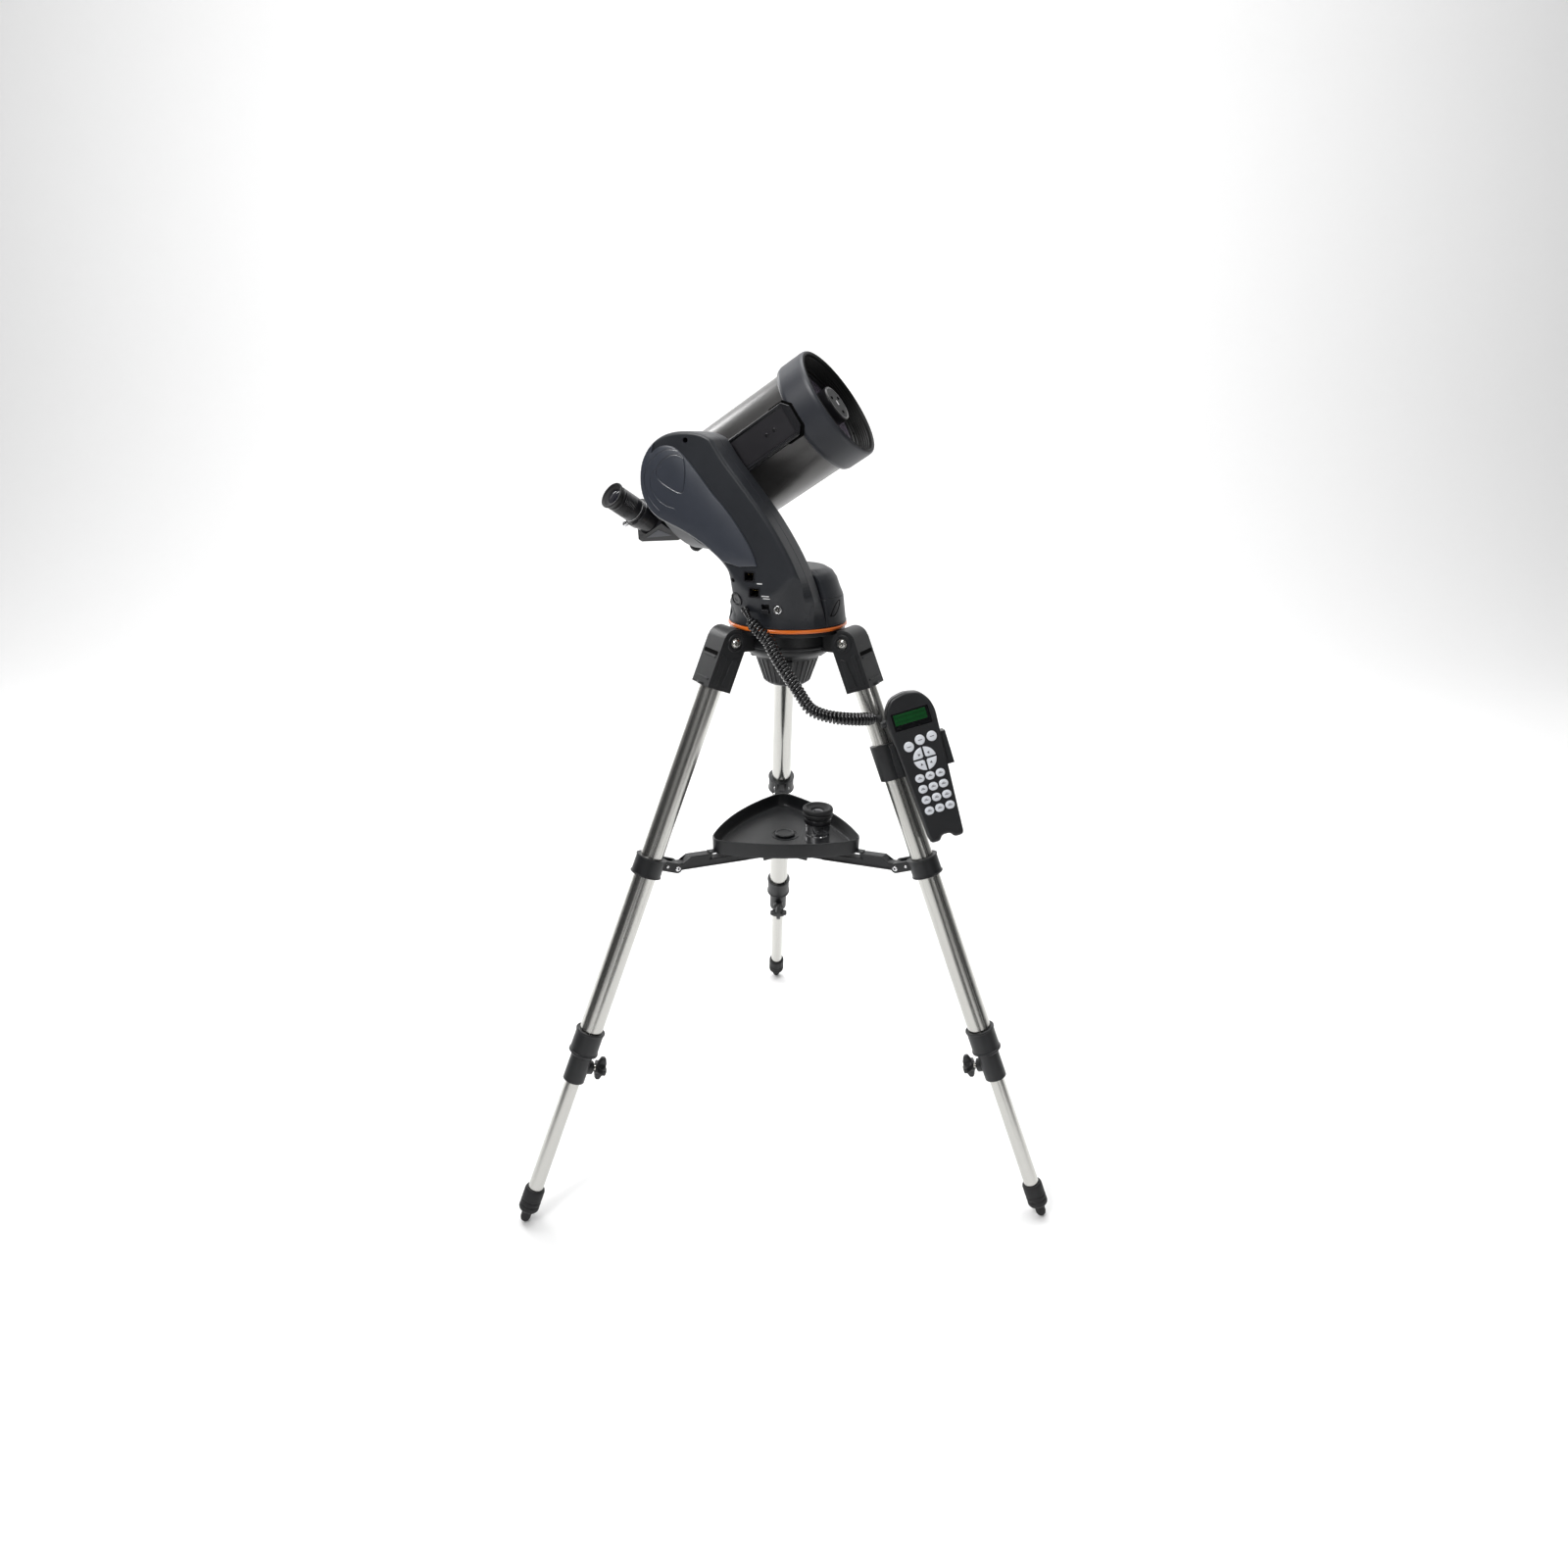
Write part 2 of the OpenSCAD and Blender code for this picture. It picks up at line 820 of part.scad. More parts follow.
module altitude_hub() {
    hub_y = -tube_y - fork_in + gap;
    color(plastic)
        tube_frame()
            difference() {
                union() {
                    translate([0, hub_y, 0]) rotate([90, 0, 0]) cylinder(d = altitude_shaft_d, h = fork_w / 2);
                    translate([0, hub_y, 0]) rotate([-90, 0, 0]) cylinder(r = flange_r, h = flange_t);
                    translate([-saddle_len / 2, hub_y + flange_t - 1, -bar_w / 2 - saddle_lip])
                        cube([saddle_len, saddle_floor + 1 + saddle_grip, bar_w + 2 * saddle_lip]);
                }
                translate([-saddle_len / 2 - 1, -bar_y - fit, -bar_w / 2 - fit])
                    cube([saddle_len + 2, 20, bar_w + 2 * fit]);
                translate([0, saddle_screw_y, -bar_w / 2 - saddle_lip - 1])
                    cylinder(d = screw_d + 2 * running, h = saddle_lip + 2);
            }
}

module saddle_knob() {
    color(plastic)
        tube_frame()
            translate([0, saddle_screw_y, -bar_w / 2 - saddle_lip - 1]) {
                translate([0, 0, -8]) cylinder(d = screw_d, h = saddle_lip + 8.5);
                translate([0, 0, -18]) cylinder(r = 9, h = 11);
            }
}

module dovetail_bar() {
    color(plastic)
        tube_frame()
            difference() {
                translate([bar_back, -bar_y, -bar_w / 2]) cube([bar_front - bar_back, bar_t + 6, bar_w]);
                translate([bar_back - 1, 0, 0]) along_x() cylinder(r = tube_d / 2 + fit, h = bar_front - bar_back + 2, $fn = 128);
            }
}

// ---------- optical tube ----------

module optical_tube() {
    tube_end = plate_x - 4;
    color("#5d5f63")
        tube_frame()
            translate([-tube_back + rear_taper + 1, 0, 0])
                along_x()
                    tube_shape(tube_d, tube_d - 2 * tube_wall, tube_end + tube_back - rear_taper - 1, $fn = 128);
}

module front_ring() {
    r_tube = tube_d / 2 + fit;
    r_out = tube_d / 2 + ring_wall;
    start = tube_front - ring_len;
    color(slate)
        tube_frame()
            along_x()
                rotate_extrude($fn = 128)
                    polygon([
                        [r_tube, start], [r_tube + 3, start], [r_out, start + 6], [r_out, tube_front - 5],
                        [r_out - 2, tube_front - 1.2], [r_out - 5, tube_front], [r_out - 7, tube_front - 1.5],
                        [plate_r + 4, plate_x + plate_t + 3], [clear_d / 2, plate_x + plate_t + 1],
                        [clear_d / 2, plate_x + plate_t + fit], [plate_r + fit, plate_x + plate_t + fit],
                        [plate_r + fit, plate_x - fit], [clear_d / 2, plate_x - fit],
                        [clear_d / 2, plate_x - 3], [r_tube, plate_x - 3]
                    ]);
}

module corrector_plate() {
    color([0.5, 0.55, 0.6, 0.4])
        tube_frame()
            translate([plate_x, 0, 0])
                along_x() tube_shape(2 * plate_r, 2 * cell_neck_r + 2 * fit, plate_t, $fn = 128);
}

module secondary_cell() {
    color(rubber)
        tube_frame()
            translate([plate_x, 0, 0])
                along_x() {
                    translate([0, 0, -8 - fit]) cylinder(r = cell_r - 2, h = 8);
                    translate([0, 0, -1]) cylinder(r = cell_neck_r, h = plate_t + 2);
                    translate([0, 0, plate_t + fit]) cylinder(r = cell_r, h = cell_front - plate_x - plate_t - fit);
                }
}

// The mirror and the sleeve that carries it along the baffle
module primary_mirror() {
    color("#b9c2cc")
        tube_frame()
            translate([mirror_x, 0, 0])
                along_x()
                    difference() {
                        union() {
                            cylinder(r = mirror_r, h = mirror_t, $fn = 128);
                            translate([0, 0, -14]) cylinder(r = baffle_r + running + sleeve_wall, h = mirror_t + 22);
                        }
                        translate([0, 0, -15]) cylinder(r = baffle_r + running, h = mirror_t + 40);
                    }
}

module baffle_tube() {
    color(rubber)
        tube_frame()
            translate([-tube_back + rear_wall, 0, 0])
                along_x() {
                    tube_shape(2 * baffle_r, 2 * (baffle_r - baffle_wall), baffle_front + tube_back - rear_wall);
                }
}

module rear_cell() {
    r_tube = tube_d / 2 + fit;
    color(slate)
        tube_frame()
            difference() {
                translate([-tube_back, 0, 0])
                    along_x()
                        rotate_extrude($fn = 128)
                            polygon([
                                [baffle_r - baffle_wall, 0], [rear_r, 0], [rear_r + 2, 3],
                                [tube_d / 2 + 1, rear_taper], [tube_d / 2 + 3, rear_taper + 3],
                                [tube_d / 2 + 3, rear_len], [r_tube, rear_len], [r_tube, rear_taper + 1 - fit],
                                [r_tube - 5, rear_taper - 1.5], [rear_r - 4, rear_wall],
                                [baffle_r - baffle_wall, rear_wall - fit]
                            ]);
                translate([-tube_back - 1, focus_y, focus_z])
                    along_x() cylinder(d = focus_shaft_d + 2 * running, h = rear_wall + 2);
            }
}

module focus_knob() {
    color(rubber)
        tube_frame()
            translate([-tube_back, focus_y, focus_z])
                along_x() {
                    translate([0, 0, -2]) cylinder(d = focus_shaft_d, h = 22);
                    translate([0, 0, -18]) cylinder(r = 9.5, h = 17);
                    translate([0, 0, -22]) cylinder(r1 = 6, r2 = 9.5, h = 4);
                }
}

module visual_back() {
    r_in = barrel_d / 2 + running;
    color(plastic)
        tube_frame()
            difference() {
                translate([back_x, 0, 0])
                    rotate([0, -90, 0])
                        rotate_extrude()
                            polygon([
                                [r_in, 0], [27, 0], [27, back_step], [21, back_step + 1],
                                [21, back_len - 8], [r_in, back_len - 8]
                            ]);
                translate([back_x - back_step - 5, 0, 0]) cylinder(d = 4 + 2 * running, h = 30);
            }
}

module thumbscrew(tip) {
    translate([0, 0, tip]) cylinder(d = 4, h = 9);
    translate([0, 0, 24]) cylinder(d = 8, h = 6);
    translate([0, 0, tip + 8]) cylinder(d = 4, h = 24 - tip - 7);
}

module back_screw() {
    color(steel)
        tube_frame()
            translate([back_x - back_step - 5, 0, 0]) thumbscrew(barrel_d / 2 + 0.2);
}

// ---------- star diagonal and eyepiece ----------

module diagonal_body() {
    r_in = barrel_d / 2 + running;
    nose_end = -prism_x - tube_back - 2;
    color(rubber)
        diagonal_frame()
            difference() {
                union() {
                    rotate([90, 0, 0])
                        linear_extrude(2 * prism_half, center = true)
                            polygon([
                                [prism_half, prism_half], [prism_half, -prism_half - 3],
                                [prism_half - 7, -prism_half - 3], [-prism_half - 3, prism_half - 7],
                                [-prism_half - 3, prism_half]
                            ]);
                    along_x() cylinder(d = barrel_d, h = nose_end);
                    cylinder(r = holder_r, h = holder_top - 5);
                    translate([0, 0, holder_top - 10]) cylinder(r = holder_r + 1.5, h = 10);
                }
                translate([0, 0, holder_base]) cylinder(r = r_in, h = holder_top);
                translate([prism_half, 0, 0]) along_x() cylinder(d = barrel_d - 3, h = nose_end);
                rotate([90, 0, 0])
                    linear_extrude(2 * prism_half - 6, center = true)
                        prism_outline(prism_half - 2.5);
                along_x() cylinder(d = barrel_d - 5, h = nose_end);
                cylinder(d = barrel_d - 5, h = holder_top);
                translate([0, 0, screw_h]) rotate([0, -90, 0]) cylinder(d = 4 + 2 * running, h = 30);
            }
}

module prism_outline(half) {
    polygon([[half, half], [half, -half], [-half, half]]);
}

module diagonal_prism() {
    color([0.75, 0.85, 0.9, 0.6])
        diagonal_frame()
            rotate([90, 0, 0])
                linear_extrude(2 * prism_half - 7, center = true)
                    prism_outline(prism_half - 3);
}

module diagonal_screw() {
    color(steel)
        diagonal_frame()
            translate([0, 0, screw_h]) rotate([0, -90, 0]) thumbscrew(barrel_d / 2 + 0.2);
}

module eyepiece() {
    color(rubber)
        diagonal_frame() {
            difference() {
                union() {
                    translate([0, 0, holder_base + 2]) cylinder(d = barrel_d, h = holder_top - holder_base);
                    translate([0, 0, holder_top + gap]) cylinder(r = 17.5, h = eyepiece_h - holder_top - 8);
                    translate([0, 0, eyepiece_h - 10]) cylinder(r = 19, h = 10);
                }
                translate([0, 0, holder_base]) cylinder(d = barrel_d - 5, h = 20);
                translate([0, 0, eyepiece_h - 4]) cylinder(r = 12, h = 5);
            }
        }
}

// ---------- handset ----------

module handset_outline(inset) {
    half = handset_len / 2;
    offset(r = 6 - inset, $fn = 32)
        offset(delta = -6)
            polygon([
                [-handset_foot_w / 2, -half], [-handset_w / 2, half - 30], [-handset_w / 2 + 5, half - 14],
                [-handset_w / 4, half - 2], [0, half], [handset_w / 4, half - 2],
                [handset_w / 2 - 5, half - 14], [handset_w / 2, half - 30], [handset_foot_w / 2, -half]
            ]);
}

module key_outline(grow) {
    for (place = round_keys) translate(place) circle(d = round_key_d + 2 * grow);
    for (row = [0:3])
        for (column = [-1:1])
            translate([key_x + column * key_pitch_x, key_top_z - row * key_pitch_z])
                stadium(key_w + 2 * grow, key_h + 2 * grow);
}

module arrow_outline(grow) {
    translate([key_x, arrow_z])
        difference() {
            circle(r = arrow_r + grow);
            circle(r = 2.5 - grow);
            square([40, 2 - 2 * grow], center = true);
            square([2 - 2 * grow, 40], center = true);
        }
}

module handset_case() {
    color(rubber)
        handset_frame()
            difference() {
                union() {
                    upright(handset_t) handset_outline(0);
                    translate([-handset_w / 2 + 1, 0, handset_len / 2 - 31]) rotate([0, -90, 0]) cylinder(d = 10, h = 8);
                }
                upright(handset_t - 2 * handset_wall) handset_outline(handset_wall);
                translate([0, -handset_t / 2, 0]) upright(3 * handset_wall) key_outline(gap);
                translate([0, -handset_t / 2, 0]) upright(3 * handset_wall) translate([key_x, arrow_z]) circle(r = arrow_r + gap);
                translate([0, -handset_t / 2, 0]) upright(3 * handset_wall)
                    translate([-window_w / 2, window_z]) square([window_w, window_h]);
            }
}

module handset_display() {
    color("#173d1e")
        handset_frame()
            translate([0, -handset_t / 2 + 1.6, 0])
                upright(2.4)
                    translate([-window_w / 2 + fit, window_z + fit])
                        square([window_w - 2 * fit, window_h - 2 * fit]);
}

module keypad() {
    color("#e9ebee")
        handset_frame()
            translate([0, -handset_t / 2 + 1, 0]) upright(2 + 2 * key_proud) key_outline(0);
}

module arrow_pad() {
    color("#e9ebee")
        handset_frame()
            translate([0, -handset_t / 2 + 1, 0])
                upright(2 + 2 * key_proud) arrow_outline(0);
}

// Clip round the leg tube, with a back plate and two jaws that grip the handset
module handset_holder() {
    plate_w = handset_w + 2 * jaw_t;
    color(plastic) {
        leg_frame(RIGHT)
            rotate([0, 0, holder_turn])
                difference() {
                    translate([0, 0, -holder_s - holder_h / 2]) {
                        cylinder(d = leg_tube_d + 9, h = holder_h);
                        translate([0, -leg_tube_d / 2 - 2.6, 0]) cube([handset_x + 10, cradle_t - 0.4, holder_h]);
                    }
                    translate([0, 0, -holder_s - holder_h]) cylinder(d = leg_tube_d + 2 * fit, h = 2 * holder_h);
                    translate([-30, leg_tube_d / 2 - 6, -holder_s - holder_h]) cube([60, 40, 2 * holder_h]);
                    handset_pocket();
                }
        handset_frame()
            difference() {
                translate([-plate_w / 2, -handset_t / 2 + 5, handset_s - holder_s - holder_h / 2 + 2])
                    cube([plate_w, handset_t - 5 + 2.5, holder_h - 4]);
                upright(handset_t + 2 * gap) handset_outline(-gap);
                translate([-plate_w / 2 + 14, -handset_t, -holder_h]) cube([plate_w - 28, handset_t, 3 * holder_h]);
            }
    }
}

// Room for the handset's back, as the clip's frame sees it
module handset_pocket() {
    translate([handset_x, -handset_y, -handset_s])
        rotate([0, handset_tilt, 0])
            upright(handset_t + 4) handset_outline(-gap);
}

// ---------- cord ----------

function cord_steps() = 4;
function cord_count() = (len(cord_route) - 1) * cord_steps() + 1;

// Smooth curve through the route's points
function cord_at(k) =
    let (
        n = len(cord_route) - 1,
        i = min(floor(k / cord_steps()), n - 1),
        t = k / cord_steps() - i,
        a = cord_route[max(i - 1, 0)],
        b = cord_route[i],
        c = cord_route[i + 1],
        d = cord_route[min(i + 2, n)]
    )
    0.5 * (2 * b + (c - a) * t + (2 * a - 5 * b + 4 * c - d) * t * t + (3 * b - a - 3 * c + d) * t * t * t);

function unit(v) = v / norm(v);
function cord_dir(k) = unit(cord_at(min(k + 1, cord_count() - 1)) - cord_at(max(k - 1, 0)));
function cord_side(k) = unit(cross(cord_dir(k), [0, 1, 0.2]));

module cord() {
    rings = cord_count();
    points = [for (k = [0:rings - 1]) for (j = [0:cord_sides - 1])
        let (u = cord_side(k), v = cross(cord_dir(k), u), a = 360 * j / cord_sides)
            cord_at(k) + cord_d / 2 * (cos(a) * u + sin(a) * v)];
    walls = [for (k = [0:rings - 2]) for (j = [0:cord_sides - 1])
        let (m = (j + 1) % cord_sides)
            [k * cord_sides + j, (k + 1) * cord_sides + j, (k + 1) * cord_sides + m, k * cord_sides + m]];
    first = [for (j = [0:cord_sides - 1]) j];
    last = [for (j = [0:cord_sides - 1]) rings * cord_sides - 1 - j];
    color(rubber)
        about_axis()
            translate([0, 0, head_top_z])
                polyhedron(points, concat([first, last], walls), convexity = 4);
}

// Plug and strain relief at the mount's end of the cord
module cord_plug() {
    start = cord_at(0);
    dir = cord_dir(0);
    color(rubber)
        about_axis()
            translate([0, 0, head_top_z])
                translate(start - gap * dir)
                    rotate([0, acos(-dir[2]), atan2(-dir[1], -dir[0])])
                        cylinder(d1 = cord_d - 2, d2 = 8, h = 14);
}

tripod_head();
head_bolts();
azimuth_base();
azimuth_gear();
accent_ring();
leg_fittings(LEFT);  // leg_fittings_left
leg_fittings(RIGHT);  // leg_fittings_right
leg_fittings(BACK);  // leg_fittings_back
leg_tube(LEFT);  // leg_tube_left
leg_tube(RIGHT);  // leg_tube_right
leg_tube(BACK);  // leg_tube_back
clamp_knob(LEFT);  // clamp_knob_left
clamp_knob(RIGHT);  // clamp_knob_right
clamp_knob(BACK);  // clamp_knob_back
leg_extension(LEFT);  // leg_extension_left
leg_extension(RIGHT);  // leg_extension_right
leg_extension(BACK);  // leg_extension_back
leg_foot(LEFT);  // leg_foot_left
leg_foot(RIGHT);  // leg_foot_right
leg_foot(BACK);  // leg_foot_back
spreader_arm(LEFT);  // spreader_arm_left
spreader_arm(RIGHT);  // spreader_arm_right
spreader_arm(BACK);  // spreader_arm_back
spreader_hub();
accessory_tray();
tray_lock();
tray_eyepiece();
base_shell();
battery_cover();
arm_outer_shell();
arm_trim_panel();
arm_inner_shell();
socket_panel();
power_switch();
drive_gearboxes();
control_board();
altitude_hub();
saddle_knob();
dovetail_bar();
optical_tube();
front_ring();
corrector_plate();
secondary_cell();
primary_mirror();
baffle_tube();
rear_cell();
focus_knob();
visual_back();
back_screw();
diagonal_body();
diagonal_prism();
diagonal_screw();
eyepiece();
handset_case();
handset_display();
keypad();
arrow_pad();
handset_holder();
cord();
cord_plug();
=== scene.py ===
import json
import math

import bmesh
import bpy
from mathutils import Matrix, Vector


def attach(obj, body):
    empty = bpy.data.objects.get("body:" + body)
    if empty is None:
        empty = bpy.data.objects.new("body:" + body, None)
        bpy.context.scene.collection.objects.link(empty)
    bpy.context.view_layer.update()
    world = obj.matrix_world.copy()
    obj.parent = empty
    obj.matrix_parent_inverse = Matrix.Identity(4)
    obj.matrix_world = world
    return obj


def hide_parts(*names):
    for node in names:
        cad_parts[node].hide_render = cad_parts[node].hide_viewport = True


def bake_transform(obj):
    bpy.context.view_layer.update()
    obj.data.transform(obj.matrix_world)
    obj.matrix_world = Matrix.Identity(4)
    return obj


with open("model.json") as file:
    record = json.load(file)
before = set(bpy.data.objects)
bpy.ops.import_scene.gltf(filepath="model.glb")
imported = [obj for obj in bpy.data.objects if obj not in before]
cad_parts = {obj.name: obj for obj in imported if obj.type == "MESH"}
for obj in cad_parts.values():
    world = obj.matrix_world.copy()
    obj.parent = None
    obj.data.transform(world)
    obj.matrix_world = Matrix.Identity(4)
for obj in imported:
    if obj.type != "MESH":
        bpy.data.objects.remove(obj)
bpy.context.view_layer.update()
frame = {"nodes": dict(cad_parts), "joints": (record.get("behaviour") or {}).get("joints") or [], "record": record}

bl_info = {
    "name": "Fork Arm Telescope",
    "version": (1, 0, 0),
    "blender": (4, 5, 0),
    "location": "View3D > Sidebar > Telescope",
    "description": "Catadioptric telescope on a single-arm mount with a folding tripod",
    "category": "Add Mesh",
}

MM = 0.001
TAU = 2 * math.pi
SIDES = ("left", "right", "back")
HEADINGS = {"left": 210, "right": 330, "back": 90}
JOINTS = {joint["name"]: joint for joint in frame["joints"]}

# Sizes of the model in millimetres
HEAD_TOP = 684.0
LEG_LENGTH = 720.7
BRACKET_WIDTH = 43.0
PIN_X = 35.6
PIN_S = 285.0
TRAY_FLOOR = 403.6
ARM_OUT = 85.0
ARM_IN = 35.0
HEAD_BACK = 104.0
HEAD_HEIGHT = 190.0
HEAD_RADIUS = 59.0
HEAD_REACH = 65.0
BASE_RADIUS = 75.0
TUBE_RADIUS = 72.5
BAR_FACE = 82.5
TUBE_BACK = 97.0
PLATE_X = 149.0
CELL_FRONT = 177.0
EYE_END = 94.0
HANDSET_THICKNESS = 24.0
SOCKETS = ((-17.0, 75.0), (-10.0, 56.0))
SOCKET = (15.0, 13.0)

# The curly cord's route about the azimuth axis, with heights from the tripod head's top
CORD_ROUTE = [
    (-50, -69, 25), (-46, -75, 19), (-37, -80, 10), (-26, -84.5, -1), (-19, -89, -14),
    (-10, -93, -29), (0, -97, -44), (9, -100, -57), (17, -103, -69), (25, -106, -79),
    (38, -108, -85), (57, -109, -89), (79, -104, -92), (96, -96, -94), (109, -92, -95),
]


# ---------- settings ----------

class TelescopeFinish(bpy.types.PropertyGroup):
    """Colours of the telescope's finishes"""

    shell: bpy.props.FloatVectorProperty(
        name="Shell", description="Plastic of the arm and base", subtype="COLOR",
        default=(0.0130, 0.0148, 0.0192))
    trim: bpy.props.FloatVectorProperty(
        name="Trim", description="Raised panel on the arm", subtype="COLOR", default=(0.031, 0.036, 0.049))
    black: bpy.props.FloatVectorProperty(
        name="Black", description="Black plastic of the tripod", subtype="COLOR",
        default=(0.0085, 0.0092, 0.0105))
    tube: bpy.props.FloatVectorProperty(
        name="Tube", description="Metallic paint of the optical tube", subtype="COLOR",
        default=(0.075, 0.073, 0.072))
    accent: bpy.props.FloatVectorProperty(
        name="Accent", description="Trim ring under the base", subtype="COLOR", default=(0.80, 0.17, 0.018))
    keys: bpy.props.FloatVectorProperty(
        name="Keys", description="Keys of the hand controller", subtype="COLOR", default=(0.70, 0.72, 0.76))


class TelescopeSizes(bpy.types.PropertyGroup):
    """Sizes of the details that are not fixed by the frame"""

    wire: bpy.props.FloatProperty(
        name="Wire", description="Diameter of the cord's wire", unit="LENGTH", default=0.0042)
    coil: bpy.props.FloatProperty(
        name="Coil", description="Outside diameter of the curly cord", unit="LENGTH", default=0.0165)
    pitch: bpy.props.FloatProperty(
        name="Pitch", description="Distance between turns of the cord", unit="LENGTH", default=0.0045)
    edge: bpy.props.FloatProperty(
        name="Edge", description="Rounding of moulded edges", unit="LENGTH", default=0.0009)
    ribs: bpy.props.IntProperty(
        name="Ribs", description="Grip ribs round a knob", default=28)


def sizes():
    return bpy.context.scene.telescope_sizes


def colours():
    return bpy.context.scene.telescope_finish


# ---------- frames ----------

def local_frame(origin, x, y, z):
    """Matrix from millimetres in a local frame to metres in the row frame"""
    turn = Matrix((Vector(x), Vector(y), Vector(z))).transposed().to_4x4()
    return Matrix.Translation(Vector(origin)) @ turn @ Matrix.Scale(MM, 4)


def shifted(place, x=0.0, y=0.0, z=0.0):
    return place @ Matrix.Translation(Vector((x, y, z)))


def turned(place, degrees, axis):
    return place @ Matrix.Rotation(math.radians(degrees), 4, axis)


def leg_frame(side):
    """-Z runs down the leg, +X points outwards"""
    fold = JOINTS["leg_fold_" + side]
    up = -Vector(JOINTS["leg_extension_" + side + "_slide"]["axis"])
    across = Vector(fold["axis"])
    return local_frame(fold["pos_m"], across.cross(up), across, up)


def spreader_frame(side):
    """Origin at a spreader arm's outer pin, +X towards the leg along the arm"""
    swing = JOINTS["spreader_arm_" + side + "_swing"]
    pin = Vector(swing["pos_m"])
    across = Vector(swing["axis"])
    axis_point = Vector(JOINTS["azimuth_turn"]["pos_m"])
    outward = Vector((pin.x - axis_point.x, pin.y - axis_point.y, 0.0)).normalized()
    level = local_frame(pin, outward, across, (0, 0, 1))
    return turned(level, -4.8, "Y")


def axis_frame(height=HEAD_TOP):
    """Origin on the azimuth axis at a height"""
    point = Vector(JOINTS["azimuth_turn"]["pos_m"])
    return local_frame((point.x, point.y, height * MM), (1, 0, 0), (0, 1, 0), (0, 0, 1))


def mount_frame():
    across = -Vector(JOINTS["altitude_tilt"]["axis"])
    up = Vector((0, 0, 1))
    return local_frame(JOINTS["azimuth_turn"]["pos_m"], across.cross(up), across, up)


def tube_frame():
    along = Vector(JOINTS["focus_turn"]["axis"])
    across = -Vector(JOINTS["altitude_tilt"]["axis"])
    return local_frame(JOINTS["altitude_tilt"]["pos_m"], along, across, along.cross(across))


def diagonal_frame():
    along = Vector(JOINTS["focus_turn"]["axis"])
    eye = Vector(JOINTS["eyepiece_slide"]["axis"])
    return local_frame(JOINTS["diagonal_turn"]["pos_m"], along, eye.cross(along), eye)


def handset_frame():
    place = turned(leg_frame("right"), 30, "Z")
    return turned(shifted(place, 37, -29.1, -168), 2, "Y")


def along_x(place):
    """Turns a lathe's axis onto +X"""
    return turned(place, 90, "Y")


# ---------- outlines ----------

def eased(points, radius, closed=False, steps=4):
    """Rounds the corners of a run of points"""
    count = len(points)
    result = []
    for i, corner in enumerate(points):
        here = Vector(corner)
        if not closed and i in (0, count - 1):
            result.append(tuple(here))
            continue
        before = Vector(points[i - 1]) - here
        after = Vector(points[(i + 1) % count]) - here
        reach = min(radius, 0.45 * before.length, 0.45 * after.length)
        start = here + before.normalized() * reach
        end = here + after.normalized() * reach
        for k in range(steps + 1):
            t = k / steps
            result.append(tuple((1 - t) ** 2 * start + 2 * t * (1 - t) * here + t * t * end))
    return result


def smooth_run(points, steps=6):
    """Smooth curve through points in two or three dimensions"""
    run = [Vector(p) for p in points]
    result = []
    for i in range(len(run) - 1):
        a, b, c, d = run[max(i - 1, 0)], run[i], run[i + 1], run[min(i + 2, len(run) - 1)]
        for k in range(steps):
            t = k / steps
            result.append(0.5 * (2 * b + (c - a) * t + (2 * a - 5 * b + 4 * c - d) * t ** 2
                                 + (3 * b - a - 3 * c + d) * t ** 3))
    result.append(run[-1])
    return result


def arc(centre, radius, start, end, steps):
    return [
        (centre[0] + radius * math.cos(math.radians(start + (end - start) * k / steps)),
         centre[1] + radius * math.sin(math.radians(start + (end - start) * k / steps)))
        for k in range(steps + 1)
    ]


def stadium(width, height, steps=8):
    half = (width - height) / 2
    return arc((half, 0), height / 2, -90, 90, steps) + arc((-half, 0), height / 2, 90, 270, steps)


def rectangle(x0, z0, x1, z1):
    return [(x0, z0), (x1, z0), (x1, z1), (x0, z1)]


def area(outline):
    return sum(a[0] * b[1] - b[0] * a[1] for a, b in zip(outline, outline[1:] + outline[:1])) / 2


def inset(outline, distance):
    """An outline that runs anticlockwise, moved inwards"""
    count = len(outline)
    result = []
    for i in range(count):
        before = (Vector(outline[i]) - Vector(outline[i - 1])).normalized()
        after = (Vector(outline[(i + 1) % count]) - Vector(outline[i])).normalized()
        normal = Vector((-before.y - after.y, before.x + after.x))
        if normal.length < 1e-6:
            normal = Vector((-before.y, before.x))
        normal.normalize()
        lean = max(0.4, normal.dot(Vector((-before.y, before.x))))
        result.append(tuple(Vector(outline[i]) + normal * (distance / lean)))
    return result


# ---------- shapes: (points, faces) in millimetres ----------

def joined(*shapes):
    points, faces = [], []
    for some_points, some_faces in shapes:
        start = len(points)
        points += list(some_points)
        faces += [[start + i for i in face] for face in some_faces]
    return points, faces


def moved(shape, matrix):
    return [tuple(matrix @ Vector(p)) for p in shape[0]], shape[1]


